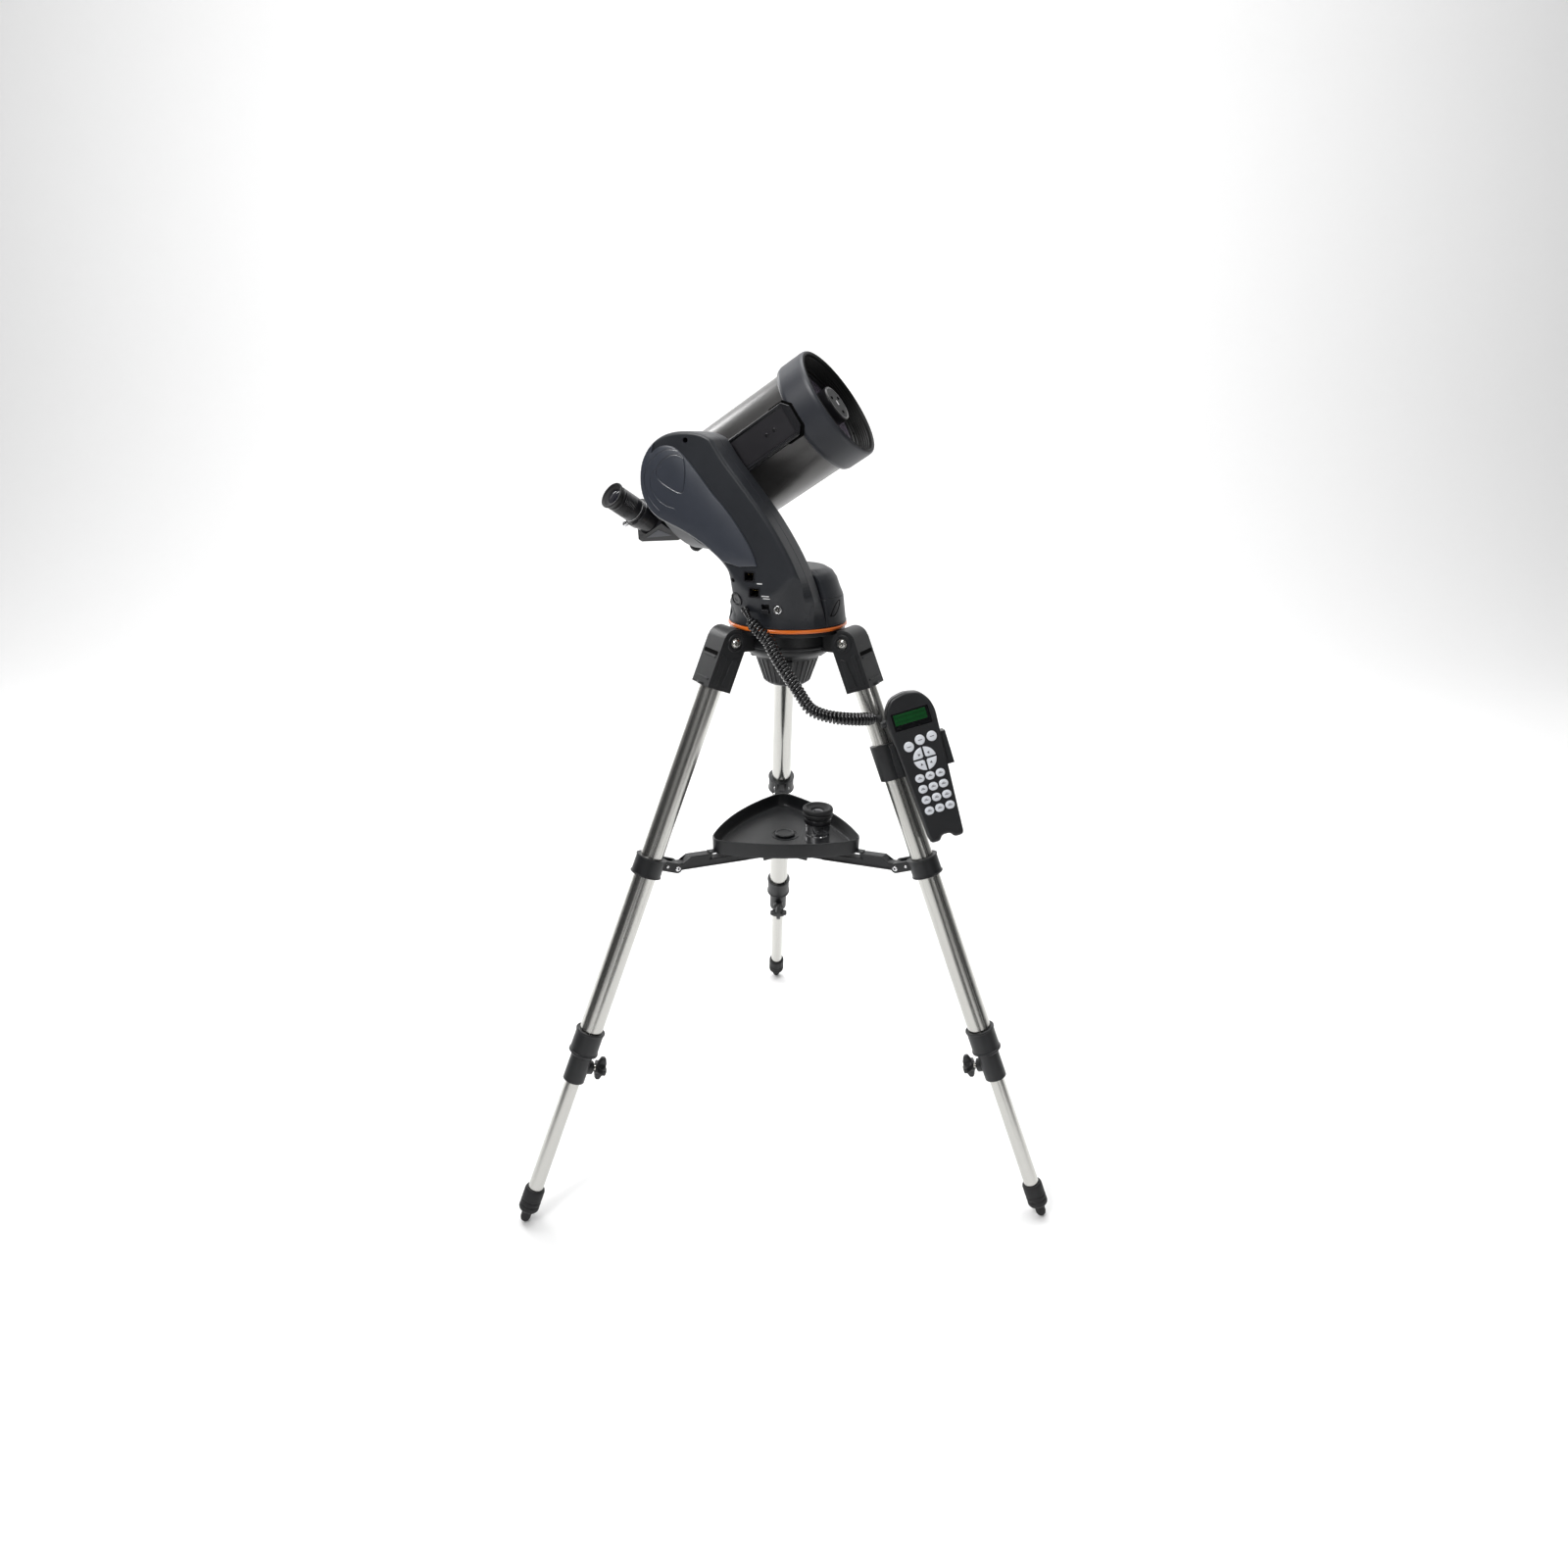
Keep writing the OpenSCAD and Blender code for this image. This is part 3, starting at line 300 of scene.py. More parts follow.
def lathe(profile, sides=96, closed=False):
    """Turns (radius, height) points about Z. A closed profile makes a ring."""
    points, rings, faces = [], [], []
    for radius, height in profile:
        if radius < 1e-6:
            rings.append([len(points)])
            points.append((0.0, 0.0, height))
            continue
        rings.append(list(range(len(points), len(points) + sides)))
        for i in range(sides):
            angle = TAU * i / sides
            points.append((radius * math.cos(angle), radius * math.sin(angle), height))
    pairs = list(zip(rings, rings[1:]))
    if closed:
        pairs.append((rings[-1], rings[0]))
    for low, high in pairs:
        for i in range(sides):
            j = (i + 1) % sides
            if len(low) == 1 and len(high) == 1:
                break
            if len(low) == 1:
                faces.append([low[0], high[j], high[i]])
            elif len(high) == 1:
                faces.append([low[i], low[j], high[0]])
            else:
                faces.append([low[i], low[j], high[j], high[i]])
    return points, faces


def slab(outline, y0, y1, edge0=0.6, edge1=0.6, steps=3):
    """A plate of an X-Z outline from depth y0 to y1, with rounded edges at both faces"""
    outline = list(outline) if area(outline) > 0 else list(reversed(outline))
    levels = []
    for k in range(steps + 1):
        turn = math.pi / 2 * k / steps
        levels.append((y0 + edge0 * (1 - math.cos(turn)), edge0 * (1 - math.sin(turn))))
    for k in range(steps + 1):
        turn = math.pi / 2 * (1 - k / steps)
        levels.append((y1 - edge1 * (1 - math.cos(turn)), edge1 * (1 - math.sin(turn))))
    if edge0 < 1e-6:
        levels = levels[steps:]
    if edge1 < 1e-6:
        levels = levels[:-steps]
    count = len(outline)
    points = [(x, y, z) for y, into in levels for x, z in inset(outline, into)]
    faces = [list(range(count)), list(reversed(range(len(points) - count, len(points))))]
    for k in range(len(levels) - 1):
        for i in range(count):
            j = (i + 1) % count
            faces.append([k * count + i, (k + 1) * count + i, (k + 1) * count + j, k * count + j])
    return points, faces


def plate_z(outline, z0, z1, edge=0.5):
    """A plate of an X-Y outline from height z0 to z1"""
    shape = slab([(x, -y) for x, y in outline], z0, z1, edge, edge)
    return moved(shape, Matrix.Rotation(math.radians(90), 4, "X"))


def block(x0, x1, y0, y1, z0, z1, edge=0.5):
    return slab(eased(rectangle(x0, z0, x1, z1), edge, closed=True, steps=2), y0, y1, edge, edge, steps=2)


def swept(path, radius, sides=8, ends=True):
    """A round tube along points, closed into a loop where it has no ends"""
    run = [Vector(p) for p in path]
    side = None
    points, faces = [], []
    for i, here in enumerate(run):
        along = (run[min(i + 1, len(run) - 1)] - run[max(i - 1, 0)]).normalized()
        if side is None:
            side = along.orthogonal().normalized()
        side = (side - along * side.dot(along)).normalized()
        other = along.cross(side)
        for k in range(sides):
            angle = TAU * k / sides
            points.append(tuple(here + radius * (math.cos(angle) * side + math.sin(angle) * other)))
    for i in range(len(run) - 1):
        for k in range(sides):
            m = (k + 1) % sides
            faces.append([i * sides + k, i * sides + m, (i + 1) * sides + m, (i + 1) * sides + k])
    if ends:
        faces.append(list(reversed(range(sides))))
        faces.append(list(range(len(points) - sides, len(points))))
    else:
        last = len(run) - 1
        for k in range(sides):
            m = (k + 1) % sides
            faces.append([last * sides + k, last * sides + m, m, k])
    return points, faces


# ---------- pieces ----------

def piece_of(name, shape, place, material, crisp=35):
    """A mesh object in the row frame, with its normals outwards and its sharp edges marked"""
    mesh = bpy.data.meshes.new(name)
    mesh.from_pydata(shape[0], [], shape[1])
    mesh.transform(place)
    tidy(mesh, crisp)
    mesh.materials.append(material)
    piece = bpy.data.objects.new(name, mesh)
    bpy.context.scene.collection.objects.link(piece)
    return piece


def tidy(mesh, crisp):
    work = bmesh.new()
    work.from_mesh(mesh)
    bmesh.ops.remove_doubles(work, verts=work.verts, dist=1e-7)
    bmesh.ops.recalc_face_normals(work, faces=work.faces)
    for face in work.faces:
        face.smooth = True
    work.to_mesh(mesh)
    work.free()
    mesh.set_sharp_from_angle(angle=math.radians(crisp))


def settled(piece):
    """Turns the modified mesh into the piece's own mesh"""
    graph = bpy.context.evaluated_depsgraph_get()
    mesh = bpy.data.meshes.new_from_object(piece.evaluated_get(graph), preserve_all_data_layers=True,
                                           depsgraph=graph)
    piece.modifiers.clear()
    piece.data = mesh
    return piece


def weighted(piece):
    """Keeps large flat faces flat in the shading beside rounded edges"""
    shade = piece.modifiers.new("shade", "WEIGHTED_NORMAL")
    shade.keep_sharp = True
    shade.weight = 80
    return settled(piece)


def mounted(piece, body, slot, *nodes):
    """Lets a finished piece ride on its body and stand for CAD nodes"""
    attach(piece, body)
    if nodes:
        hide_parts(*nodes)
    return piece


def made(name, shape, place, material, body, slot, *nodes, crisp=35):
    piece = weighted(piece_of(name, shape, place, material, crisp))
    return mounted(piece, body, slot, *nodes)


def body_of(node):
    return next(body for body, members in frame["record"]["behaviour"]["bodies"].items() if node in members)


def slot_of(node):
    return next(s["material_slot"] for s in frame["record"]["subparts"] if s["node"] == node)


def rounded_copy(node, material, edge=None, segments=2, limit=28):
    """A copy of a node's solid with its edges rounded, which stands for the node"""
    mesh = frame["nodes"][node].data.copy()
    mesh.name = node + "_form"
    mesh.materials.clear()
    work = bmesh.new()
    work.from_mesh(mesh)
    bmesh.ops.remove_doubles(work, verts=work.verts, dist=2e-6)
    bmesh.ops.dissolve_limit(
        work, angle_limit=math.radians(0.4), verts=work.verts, edges=work.edges, delimit={"NORMAL"})
    work.to_mesh(mesh)
    work.free()
    piece = bpy.data.objects.new(node + "_form", mesh)
    bpy.context.scene.collection.objects.link(piece)
    width = sizes().edge if edge is None else edge * MM
    if width > 0:
        soften = piece.modifiers.new("edge", "BEVEL")
        soften.width = width
        soften.segments = segments
        soften.limit_method = "ANGLE"
        soften.angle_limit = math.radians(limit)
        soften.miter_outer = "MITER_ARC"
        settled(piece)
    for face in piece.data.polygons:
        face.use_smooth = True
    piece.data.set_sharp_from_angle(angle=math.radians(40))
    piece.data.materials.clear()
    piece.data.materials.append(material)
    weighted(piece)
    return mounted(piece, body_of(node), slot_of(node), node)


def cut_by(piece, cutters):
    """Subtracts closed shapes, given as pieces, from a piece"""
    for cutter in cutters:
        cut = piece.modifiers.new("cut", "BOOLEAN")
        cut.operation = "DIFFERENCE"
        cut.solver = "EXACT"
        cut.object = cutter
    settled(piece)
    for cutter in cutters:
        bpy.data.objects.remove(cutter)
    for face in piece.data.polygons:
        face.use_smooth = True
    piece.data.set_sharp_from_angle(angle=math.radians(35))
    return piece


# ---------- repeats, as geometry nodes ----------

def node_tree(name, inputs):
    tree = bpy.data.node_groups.new(name, "GeometryNodeTree")
    tree.interface.new_socket("Geometry", in_out="INPUT", socket_type="NodeSocketGeometry")
    for label, kind in inputs:
        tree.interface.new_socket(label, in_out="INPUT", socket_type=kind)
    tree.interface.new_socket("Geometry", in_out="OUTPUT", socket_type="NodeSocketGeometry")
    return tree, tree.nodes.new("NodeGroupInput"), tree.nodes.new("NodeGroupOutput")


def finish_tree(tree, start, end, source):
    """Ends a tree in real geometry with its material set"""
    realize = tree.nodes.new("GeometryNodeRealizeInstances")
    paint = tree.nodes.new("GeometryNodeSetMaterial")
    tree.links.new(source, realize.inputs["Geometry"])
    tree.links.new(realize.outputs["Geometry"], paint.inputs["Geometry"])
    tree.links.new(start.outputs["Material"], paint.inputs["Material"])
    tree.links.new(paint.outputs["Geometry"], end.inputs["Geometry"])


def ring_tree():
    """Copies of a shape round the local Z axis, each turned with its place"""
    name = "round_the_axis"
    if name in bpy.data.node_groups:
        return bpy.data.node_groups[name]
    tree, start, end = node_tree(name, [
        ("Count", "NodeSocketInt"), ("Radius", "NodeSocketFloat"), ("Material", "NodeSocketMaterial")])
    link = tree.links.new
    circle = tree.nodes.new("GeometryNodeMeshCircle")
    spots = tree.nodes.new("GeometryNodeInstanceOnPoints")
    index = tree.nodes.new("GeometryNodeInputIndex")
    share = tree.nodes.new("ShaderNodeMath")
    share.operation = "DIVIDE"
    angle = tree.nodes.new("ShaderNodeMath")
    angle.operation = "MULTIPLY"
    angle.inputs[1].default_value = TAU
    spin = tree.nodes.new("ShaderNodeCombineXYZ")
    link(start.outputs["Count"], circle.inputs["Vertices"])
    link(start.outputs["Radius"], circle.inputs["Radius"])
    link(circle.outputs["Mesh"], spots.inputs["Points"])
    link(start.outputs["Geometry"], spots.inputs["Instance"])
    link(index.outputs[0], share.inputs[0])
    link(start.outputs["Count"], share.inputs[1])
    link(share.outputs[0], angle.inputs[0])
    link(angle.outputs[0], spin.inputs["Z"])
    link(spin.outputs[0], spots.inputs["Rotation"])
    finish_tree(tree, start, end, spots.outputs["Instances"])
    return tree


def grid_tree():
    """Copies of a shape on a grid in the local X-Y plane"""
    name = "rows_and_columns"
    if name in bpy.data.node_groups:
        return bpy.data.node_groups[name]
    tree, start, end = node_tree(name, [
        ("Columns", "NodeSocketInt"), ("Rows", "NodeSocketInt"), ("Width", "NodeSocketFloat"),
        ("Height", "NodeSocketFloat"), ("Material", "NodeSocketMaterial")])
    link = tree.links.new
    grid = tree.nodes.new("GeometryNodeMeshGrid")
    spots = tree.nodes.new("GeometryNodeInstanceOnPoints")
    link(start.outputs["Columns"], grid.inputs["Vertices X"])
    link(start.outputs["Rows"], grid.inputs["Vertices Y"])
    link(start.outputs["Width"], grid.inputs["Size X"])
    link(start.outputs["Height"], grid.inputs["Size Y"])
    link(grid.outputs["Mesh"], spots.inputs["Points"])
    link(start.outputs["Geometry"], spots.inputs["Instance"])
    finish_tree(tree, start, end, spots.outputs["Instances"])
    return tree


def repeated(name, shape, place, material, tree, values, crisp=35):
    """Runs a repeat tree on one shape, then puts the plain result in place"""
    piece = piece_of(name, shape, Matrix.Identity(4), material, crisp)
    run = piece.modifiers.new("repeat", "NODES")
    run.node_group = tree
    named = {s.name: s.identifier for s in tree.interface.items_tree if s.in_out == "INPUT"}
    for label, value in {**values, "Material": material}.items():
        run[named[label]] = value
    settled(piece)
    piece.data.transform(place)
    for face in piece.data.polygons:
        face.use_smooth = True
    piece.data.set_sharp_from_angle(angle=math.radians(crisp))
    piece.data.materials.clear()
    piece.data.materials.append(material)
    return piece


def round_axis(name, shape, place, material, body, slot, count, radius=0.0, crisp=35):
    values = {"Count": count, "Radius": max(radius, 1e-4)}
    return mounted(repeated(name, shape, place, material, ring_tree(), values, crisp), body, slot)


# ---------- finishes ----------

def shader_group(name, inputs, outputs):
    group = bpy.data.node_groups.new(name, "ShaderNodeTree")
    for label, kind, value in inputs:
        socket = group.interface.new_socket(label, in_out="INPUT", socket_type=kind)
        if value is not None:
            socket.default_value = value
    for label, kind in outputs:
        group.interface.new_socket(label, in_out="OUTPUT", socket_type=kind)
    return group, group.nodes.new("NodeGroupInput"), group.nodes.new("NodeGroupOutput")


def grain_group():
    """Moulded or painted grain: mottled colour, uneven gloss and a fine bump"""
    name = "surface_grain"
    if name in bpy.data.node_groups:
        return bpy.data.node_groups[name]
    group, start, end = shader_group(name, [
        ("Vector", "NodeSocketVector", None), ("Colour", "NodeSocketColor", (0.5, 0.5, 0.5, 1)),
        ("Grain", "NodeSocketFloat", 900.0), ("Mottle", "NodeSocketFloat", 0.15),
        ("Gloss", "NodeSocketFloat", 0.4), ("Unevenness", "NodeSocketFloat", 0.1),
        ("Depth", "NodeSocketFloat", 0.2),
    ], [("Colour", "NodeSocketColor"), ("Roughness", "NodeSocketFloat"), ("Normal", "NodeSocketVector")])
    link = group.links.new
    fine = group.nodes.new("ShaderNodeTexNoise")
    fine.inputs["Detail"].default_value = 2.0
    broad = group.nodes.new("ShaderNodeTexNoise")
    broad.inputs["Scale"].default_value = 28.0
    broad.inputs["Detail"].default_value = 5.0
    link(start.outputs["Vector"], fine.inputs["Vector"])
    link(start.outputs["Grain"], fine.inputs["Scale"])
    link(start.outputs["Vector"], broad.inputs["Vector"])
    centred = group.nodes.new("ShaderNodeMath")
    centred.operation = "SUBTRACT"
    centred.inputs[1].default_value = 0.5
    link(broad.outputs["Fac"], centred.inputs[0])
    speck = group.nodes.new("ShaderNodeMath")
    speck.operation = "SUBTRACT"
    speck.inputs[1].default_value = 0.5
    link(fine.outputs["Fac"], speck.inputs[0])
    both = group.nodes.new("ShaderNodeMath")
    both.operation = "ADD"
    link(centred.outputs[0], both.inputs[0])
    link(speck.outputs[0], both.inputs[1])
    tone = group.nodes.new("ShaderNodeMath")
    tone.operation = "MULTIPLY_ADD"
    tone.inputs[2].default_value = 1.0
    link(both.outputs[0], tone.inputs[0])
    link(start.outputs["Mottle"], tone.inputs[1])
    colour = group.nodes.new("ShaderNodeVectorMath")
    colour.operation = "SCALE"
    link(start.outputs["Colour"], colour.inputs[0])
    link(tone.outputs[0], colour.inputs["Scale"])
    rough = group.nodes.new("ShaderNodeMath")
    rough.operation = "MULTIPLY_ADD"
    link(both.outputs[0], rough.inputs[0])
    link(start.outputs["Unevenness"], rough.inputs[1])
    link(start.outputs["Gloss"], rough.inputs[2])
    bump = group.nodes.new("ShaderNodeBump")
    bump.inputs["Distance"].default_value = 0.0003
    link(start.outputs["Depth"], bump.inputs["Strength"])
    link(fine.outputs["Fac"], bump.inputs["Height"])
    link(colour.outputs[0], end.inputs["Colour"])
    link(rough.outputs[0], end.inputs["Roughness"])
    link(bump.outputs[0], end.inputs["Normal"])
    return group


def brushed_group():
    """Drawn metal: fine lines along one direction"""
    name = "drawn_metal"
    if name in bpy.data.node_groups:
        return bpy.data.node_groups[name]
    group, start, end = shader_group(name, [
        ("Vector", "NodeSocketVector", None), ("Colour", "NodeSocketColor", (0.6, 0.6, 0.6, 1)),
        ("Gloss", "NodeSocketFloat", 0.2), ("Lines", "NodeSocketFloat", 0.1),
    ], [("Colour", "NodeSocketColor"), ("Roughness", "NodeSocketFloat")])
    link = group.links.new
    lines = group.nodes.new("ShaderNodeTexNoise")
    lines.inputs["Scale"].default_value = 1.0
    lines.inputs["Detail"].default_value = 3.0
    link(start.outputs["Vector"], lines.inputs["Vector"])
    rough = group.nodes.new("ShaderNodeMath")
    rough.operation = "MULTIPLY_ADD"
    link(lines.outputs["Fac"], rough.inputs[0])
    link(start.outputs["Lines"], rough.inputs[1])
    link(start.outputs["Gloss"], rough.inputs[2])
    tone = group.nodes.new("ShaderNodeMath")
    tone.operation = "MULTIPLY_ADD"
    tone.inputs[1].default_value = 0.12
    tone.inputs[2].default_value = 0.94
    link(lines.outputs["Fac"], tone.inputs[0])
    colour = group.nodes.new("ShaderNodeVectorMath")
    colour.operation = "SCALE"
    link(start.outputs["Colour"], colour.inputs[0])
    link(tone.outputs[0], colour.inputs["Scale"])
    link(colour.outputs[0], end.inputs["Colour"])
    link(rough.outputs[0], end.inputs["Roughness"])
    return group


def base_material(name):
    material = bpy.data.materials.new(name)
    material.use_nodes = True
    nodes = material.node_tree.nodes
    coordinates = nodes.new("ShaderNodeTexCoord")
    return material, nodes, material.node_tree.links.new, nodes["Principled BSDF"], coordinates


def grained(name, colour, gloss=0.4, grain=900.0, mottle=0.18, unevenness=0.12, depth=0.2, metallic=0.0,
            coat=0.0, coat_gloss=0.1, specular=0.5):
    """A finish with moulded or painted grain"""
    if name in bpy.data.materials:
        return bpy.data.materials[name]
    material, nodes, link, principled, coordinates = base_material(name)
    surface = nodes.new("ShaderNodeGroup")
    surface.node_tree = grain_group()
    surface.inputs["Colour"].default_value = (*colour[:3], 1)
    surface.inputs["Grain"].default_value = grain
    surface.inputs["Mottle"].default_value = mottle
    surface.inputs["Gloss"].default_value = gloss
    surface.inputs["Unevenness"].default_value = unevenness
    surface.inputs["Depth"].default_value = depth
    link(coordinates.outputs["Object"], surface.inputs["Vector"])
    link(surface.outputs["Colour"], principled.inputs["Base Color"])
    link(surface.outputs["Roughness"], principled.inputs["Roughness"])
    link(surface.outputs["Normal"], principled.inputs["Normal"])
    principled.inputs["Metallic"].default_value = metallic
    principled.inputs["Coat Weight"].default_value = coat
    principled.inputs["Coat Roughness"].default_value = coat_gloss
    principled.inputs["Specular IOR Level"].default_value = specular
    return material


def drawn(name, direction, colour=(0.56, 0.555, 0.53), gloss=0.17, lines=0.16):
    """Stainless steel drawn along a direction"""
    if name in bpy.data.materials:
        return bpy.data.materials[name]
    material, nodes, link, principled, coordinates = base_material(name)
    along = Vector(direction).normalized()
    mapping = nodes.new("ShaderNodeMapping")
    mapping.vector_type = "TEXTURE"
    mapping.inputs["Rotation"].default_value = along.to_track_quat("Z", "Y").to_euler()
    mapping.inputs["Scale"].default_value = (0.0012, 0.0012, 0.6)
    surface = nodes.new("ShaderNodeGroup")
    surface.node_tree = brushed_group()
    surface.inputs["Colour"].default_value = (*colour, 1)
    surface.inputs["Gloss"].default_value = gloss
    surface.inputs["Lines"].default_value = lines
    link(coordinates.outputs["Object"], mapping.inputs["Vector"])
    link(mapping.outputs["Vector"], surface.inputs["Vector"])
    link(surface.outputs["Colour"], principled.inputs["Base Color"])
    link(surface.outputs["Roughness"], principled.inputs["Roughness"])
    principled.inputs["Metallic"].default_value = 1.0
    return material


def glassy(name, colour, transmission, gloss=0.03):
    """Coated glass"""
    if name in bpy.data.materials:
        return bpy.data.materials[name]
    material, nodes, link, principled, coordinates = base_material(name)
    surface = nodes.new("ShaderNodeGroup")
    surface.node_tree = grain_group()
    surface.inputs["Colour"].default_value = (*colour, 1)
    surface.inputs["Grain"].default_value = 60.0
    surface.inputs["Mottle"].default_value = 0.04
    surface.inputs["Gloss"].default_value = gloss
    surface.inputs["Unevenness"].default_value = 0.01
    link(coordinates.outputs["Object"], surface.inputs["Vector"])
    link(surface.outputs["Colour"], principled.inputs["Base Color"])
    link(surface.outputs["Roughness"], principled.inputs["Roughness"])
    principled.inputs["Transmission Weight"].default_value = transmission
    principled.inputs["IOR"].default_value = 1.5
    principled.inputs["Coat Weight"].default_value = 0.6
    principled.inputs["Coat Roughness"].default_value = 0.03
    return material


def plastic():
    return grained("tripod_black", colours().black, gloss=0.42, grain=1100, depth=0.22)


def shell_plastic():
    return grained("shell_slate", colours().shell, gloss=0.44, grain=650, mottle=0.35, depth=0.32)


def trim_plastic():
    return grained("trim_slate", colours().trim, gloss=0.38, grain=1300, mottle=0.2, depth=0.14, coat=0.5,
                   coat_gloss=0.32)


def satin_black():
    return grained("satin_black", (0.010, 0.010, 0.012), gloss=0.32, grain=1500, depth=0.04)


def soft_rubber():
    return grained("soft_rubber", (0.013, 0.013, 0.014), gloss=0.6, grain=800, depth=0.3, specular=0.35)


# Near-black with almost no reflection: painted shade for slots, holes, gaps and recess lines, and the real black
# of the baffle tube and the small screws.
def deep_black():
    return grained("deep_black", (0.002, 0.002, 0.002), gloss=0.9, depth=0.02, specular=0.05)


def gloss_black():
    return grained("liner_black", (0.003, 0.003, 0.003), gloss=0.5, grain=500, depth=0.03, specular=0.2)


def chrome():
    return grained("bright_chrome", (0.78, 0.78, 0.79), gloss=0.08, grain=300, mottle=0.05, unevenness=0.06,
                   depth=0.02, metallic=1.0)


def bolt_steel():
    return grained("bolt_steel", (0.62, 0.61, 0.58), gloss=0.22, grain=700, unevenness=0.2, depth=0.08,
                   metallic=1.0)


def tube_paint():
    return grained("tube_gunmetal", colours().tube, gloss=0.34, grain=2200, mottle=0.3, unevenness=0.1,
                   depth=0.1,
                   metallic=0.75, coat=0.35, coat_gloss=0.25)


def ring_paint():
    return grained("ring_slate", (0.017, 0.019, 0.026), gloss=0.44, grain=900, mottle=0.22, depth=0.12)


# ---------- the stage ----------

def make_camera():
    """The eye stands in front of the tripod, about as high as the mount"""
    eye = Vector((-0.0428, -1.3453, 0.9327))
    yaw, pitch, roll = (math.radians(a) for a in (-1.69, 7.08, 0.70))
    ahead = Vector((math.sin(-yaw) * math.cos(pitch), math.cos(yaw) * math.cos(pitch), -math.sin(pitch)))
    right = Vector((math.cos(yaw), math.sin(yaw), 0))
    up = right.cross(ahead)
    turned_right = math.cos(roll) * right + math.sin(roll) * up
    turned_up = math.cos(roll) * up - math.sin(roll) * right
    data = bpy.data.cameras.new("camera")
    data.sensor_width = 36.0
    data.lens = 22.725
    data.shift_y = -0.1458
    camera = bpy.data.objects.new("camera", data)
    camera.matrix_world = Matrix.Translation(eye) @ Matrix(
        (turned_right, turned_up, -ahead)).transposed().to_4x4()
    bpy.context.scene.collection.objects.link(camera)
    bpy.context.scene.camera = camera


def soft_light(name, place, aim, size, power, colour=(1, 1, 1)):
    data = bpy.data.lights.new(name, "AREA")
    data.shape = "RECTANGLE"
    data.size, data.size_y = size
    data.energy = power
    data.color = colour
    light = bpy.data.objects.new(name, data)
    light.location = place
    light.rotation_euler = (Vector(aim) - Vector(place)).to_track_quat("-Z", "Y").to_euler()
    bpy.context.scene.collection.objects.link(light)


def make_stage():
    """A bright paper sweep under soft boxes, with dark flags that draw lines in polished metal"""
    paper_white = grained("studio_paper", (0.88, 0.88, 0.88), gloss=0.9, grain=40, mottle=0.01,
                          unevenness=0.02,
                          depth=0.0, specular=0.0)
    shine = paper_white.node_tree.nodes["Principled BSDF"]
    shine.inputs["Emission Color"].default_value = (1, 1, 1, 1)
    shine.inputs["Emission Strength"].default_value = 0.10
    profile = [(-4.0, 0.0), (2.2, 0.0)] + arc((2.2, 1.6), 1.6, -90, 0, 16) + [(3.8, 5.0)]
    sheet("paper_sweep", [(x, y, z) for y, z in profile for x in (-6.0, 6.0)], paper_white)
    flag_black = grained("flag_grey", (0.05, 0.05, 0.05), gloss=0.9, depth=0.0, specular=0.0)
    sheet("flag_left", [(x, y, z) for z in (0.02, 2.0) for x, y in ((-1.25, -1.7), (-1.35, -0.10))],
          flag_black)
    sheet("flag_right", [(x, y, z) for z in (0.02, 2.0) for x, y in ((1.15, -1.7), (1.25, -0.30))],
          flag_black)
    sheet("flag_behind", [(x, -2.7, z) for z in (0.02, 2.2) for x in (-0.35, 0.75)], flag_black)
    sheet("flag_floor", [(x, y, 0.004) for y in (-2.6, -0.80) for x in (-0.12, 0.42)], flag_black)
    world = bpy.data.worlds.new("studio")
    world.use_nodes = True
    world.node_tree.nodes["Background"].inputs["Color"].default_value = (1, 1, 1, 1)
    world.node_tree.nodes["Background"].inputs["Strength"].default_value = 0.22
    bpy.context.scene.world = world
    bpy.context.scene.view_settings.view_transform = "Standard"
    soft_light("key", (-1.7, -1.7, 2.6), (0, 0, 0.9), (1.2, 1.0), 98)
    soft_light("fill", (1.7, -2.6, 1.5), (0, 0, 0.6), (0.7, 1.6), 9)
    soft_light("top", (0.0, 0.4, 3.1), (0, 0.2, 0.0), (2.6, 2.2), 62)
    soft_light("rim", (-1.6, 1.7, 1.6), (0, 0, 0.9), (0.5, 1.6), 24)
    soft_light("wall", (0.0, 1.2, 4.2), (0, 3.8, 1.4), (6.5, 1.0), 100)


def sheet(name, points, material):
    """A strip of flat faces between pairs of points, as part of the stage"""
    mesh = bpy.data.meshes.new(name)
    faces = [[2 * i, 2 * i + 1, 2 * i + 3, 2 * i + 2] for i in range(len(points) // 2 - 1)]
    mesh.from_pydata(points, [], faces)
    for face in mesh.polygons:
        face.use_smooth = True
    mesh.materials.append(material)
    piece = bpy.data.objects.new(name, mesh)
    bpy.context.scene.collection.objects.link(piece)


# ---------- the cord ----------

def cord_line():
    """The route's smooth line in row coordinates, in metres"""
    return [axis_frame() @ p for p in smooth_run(CORD_ROUTE, 10)]


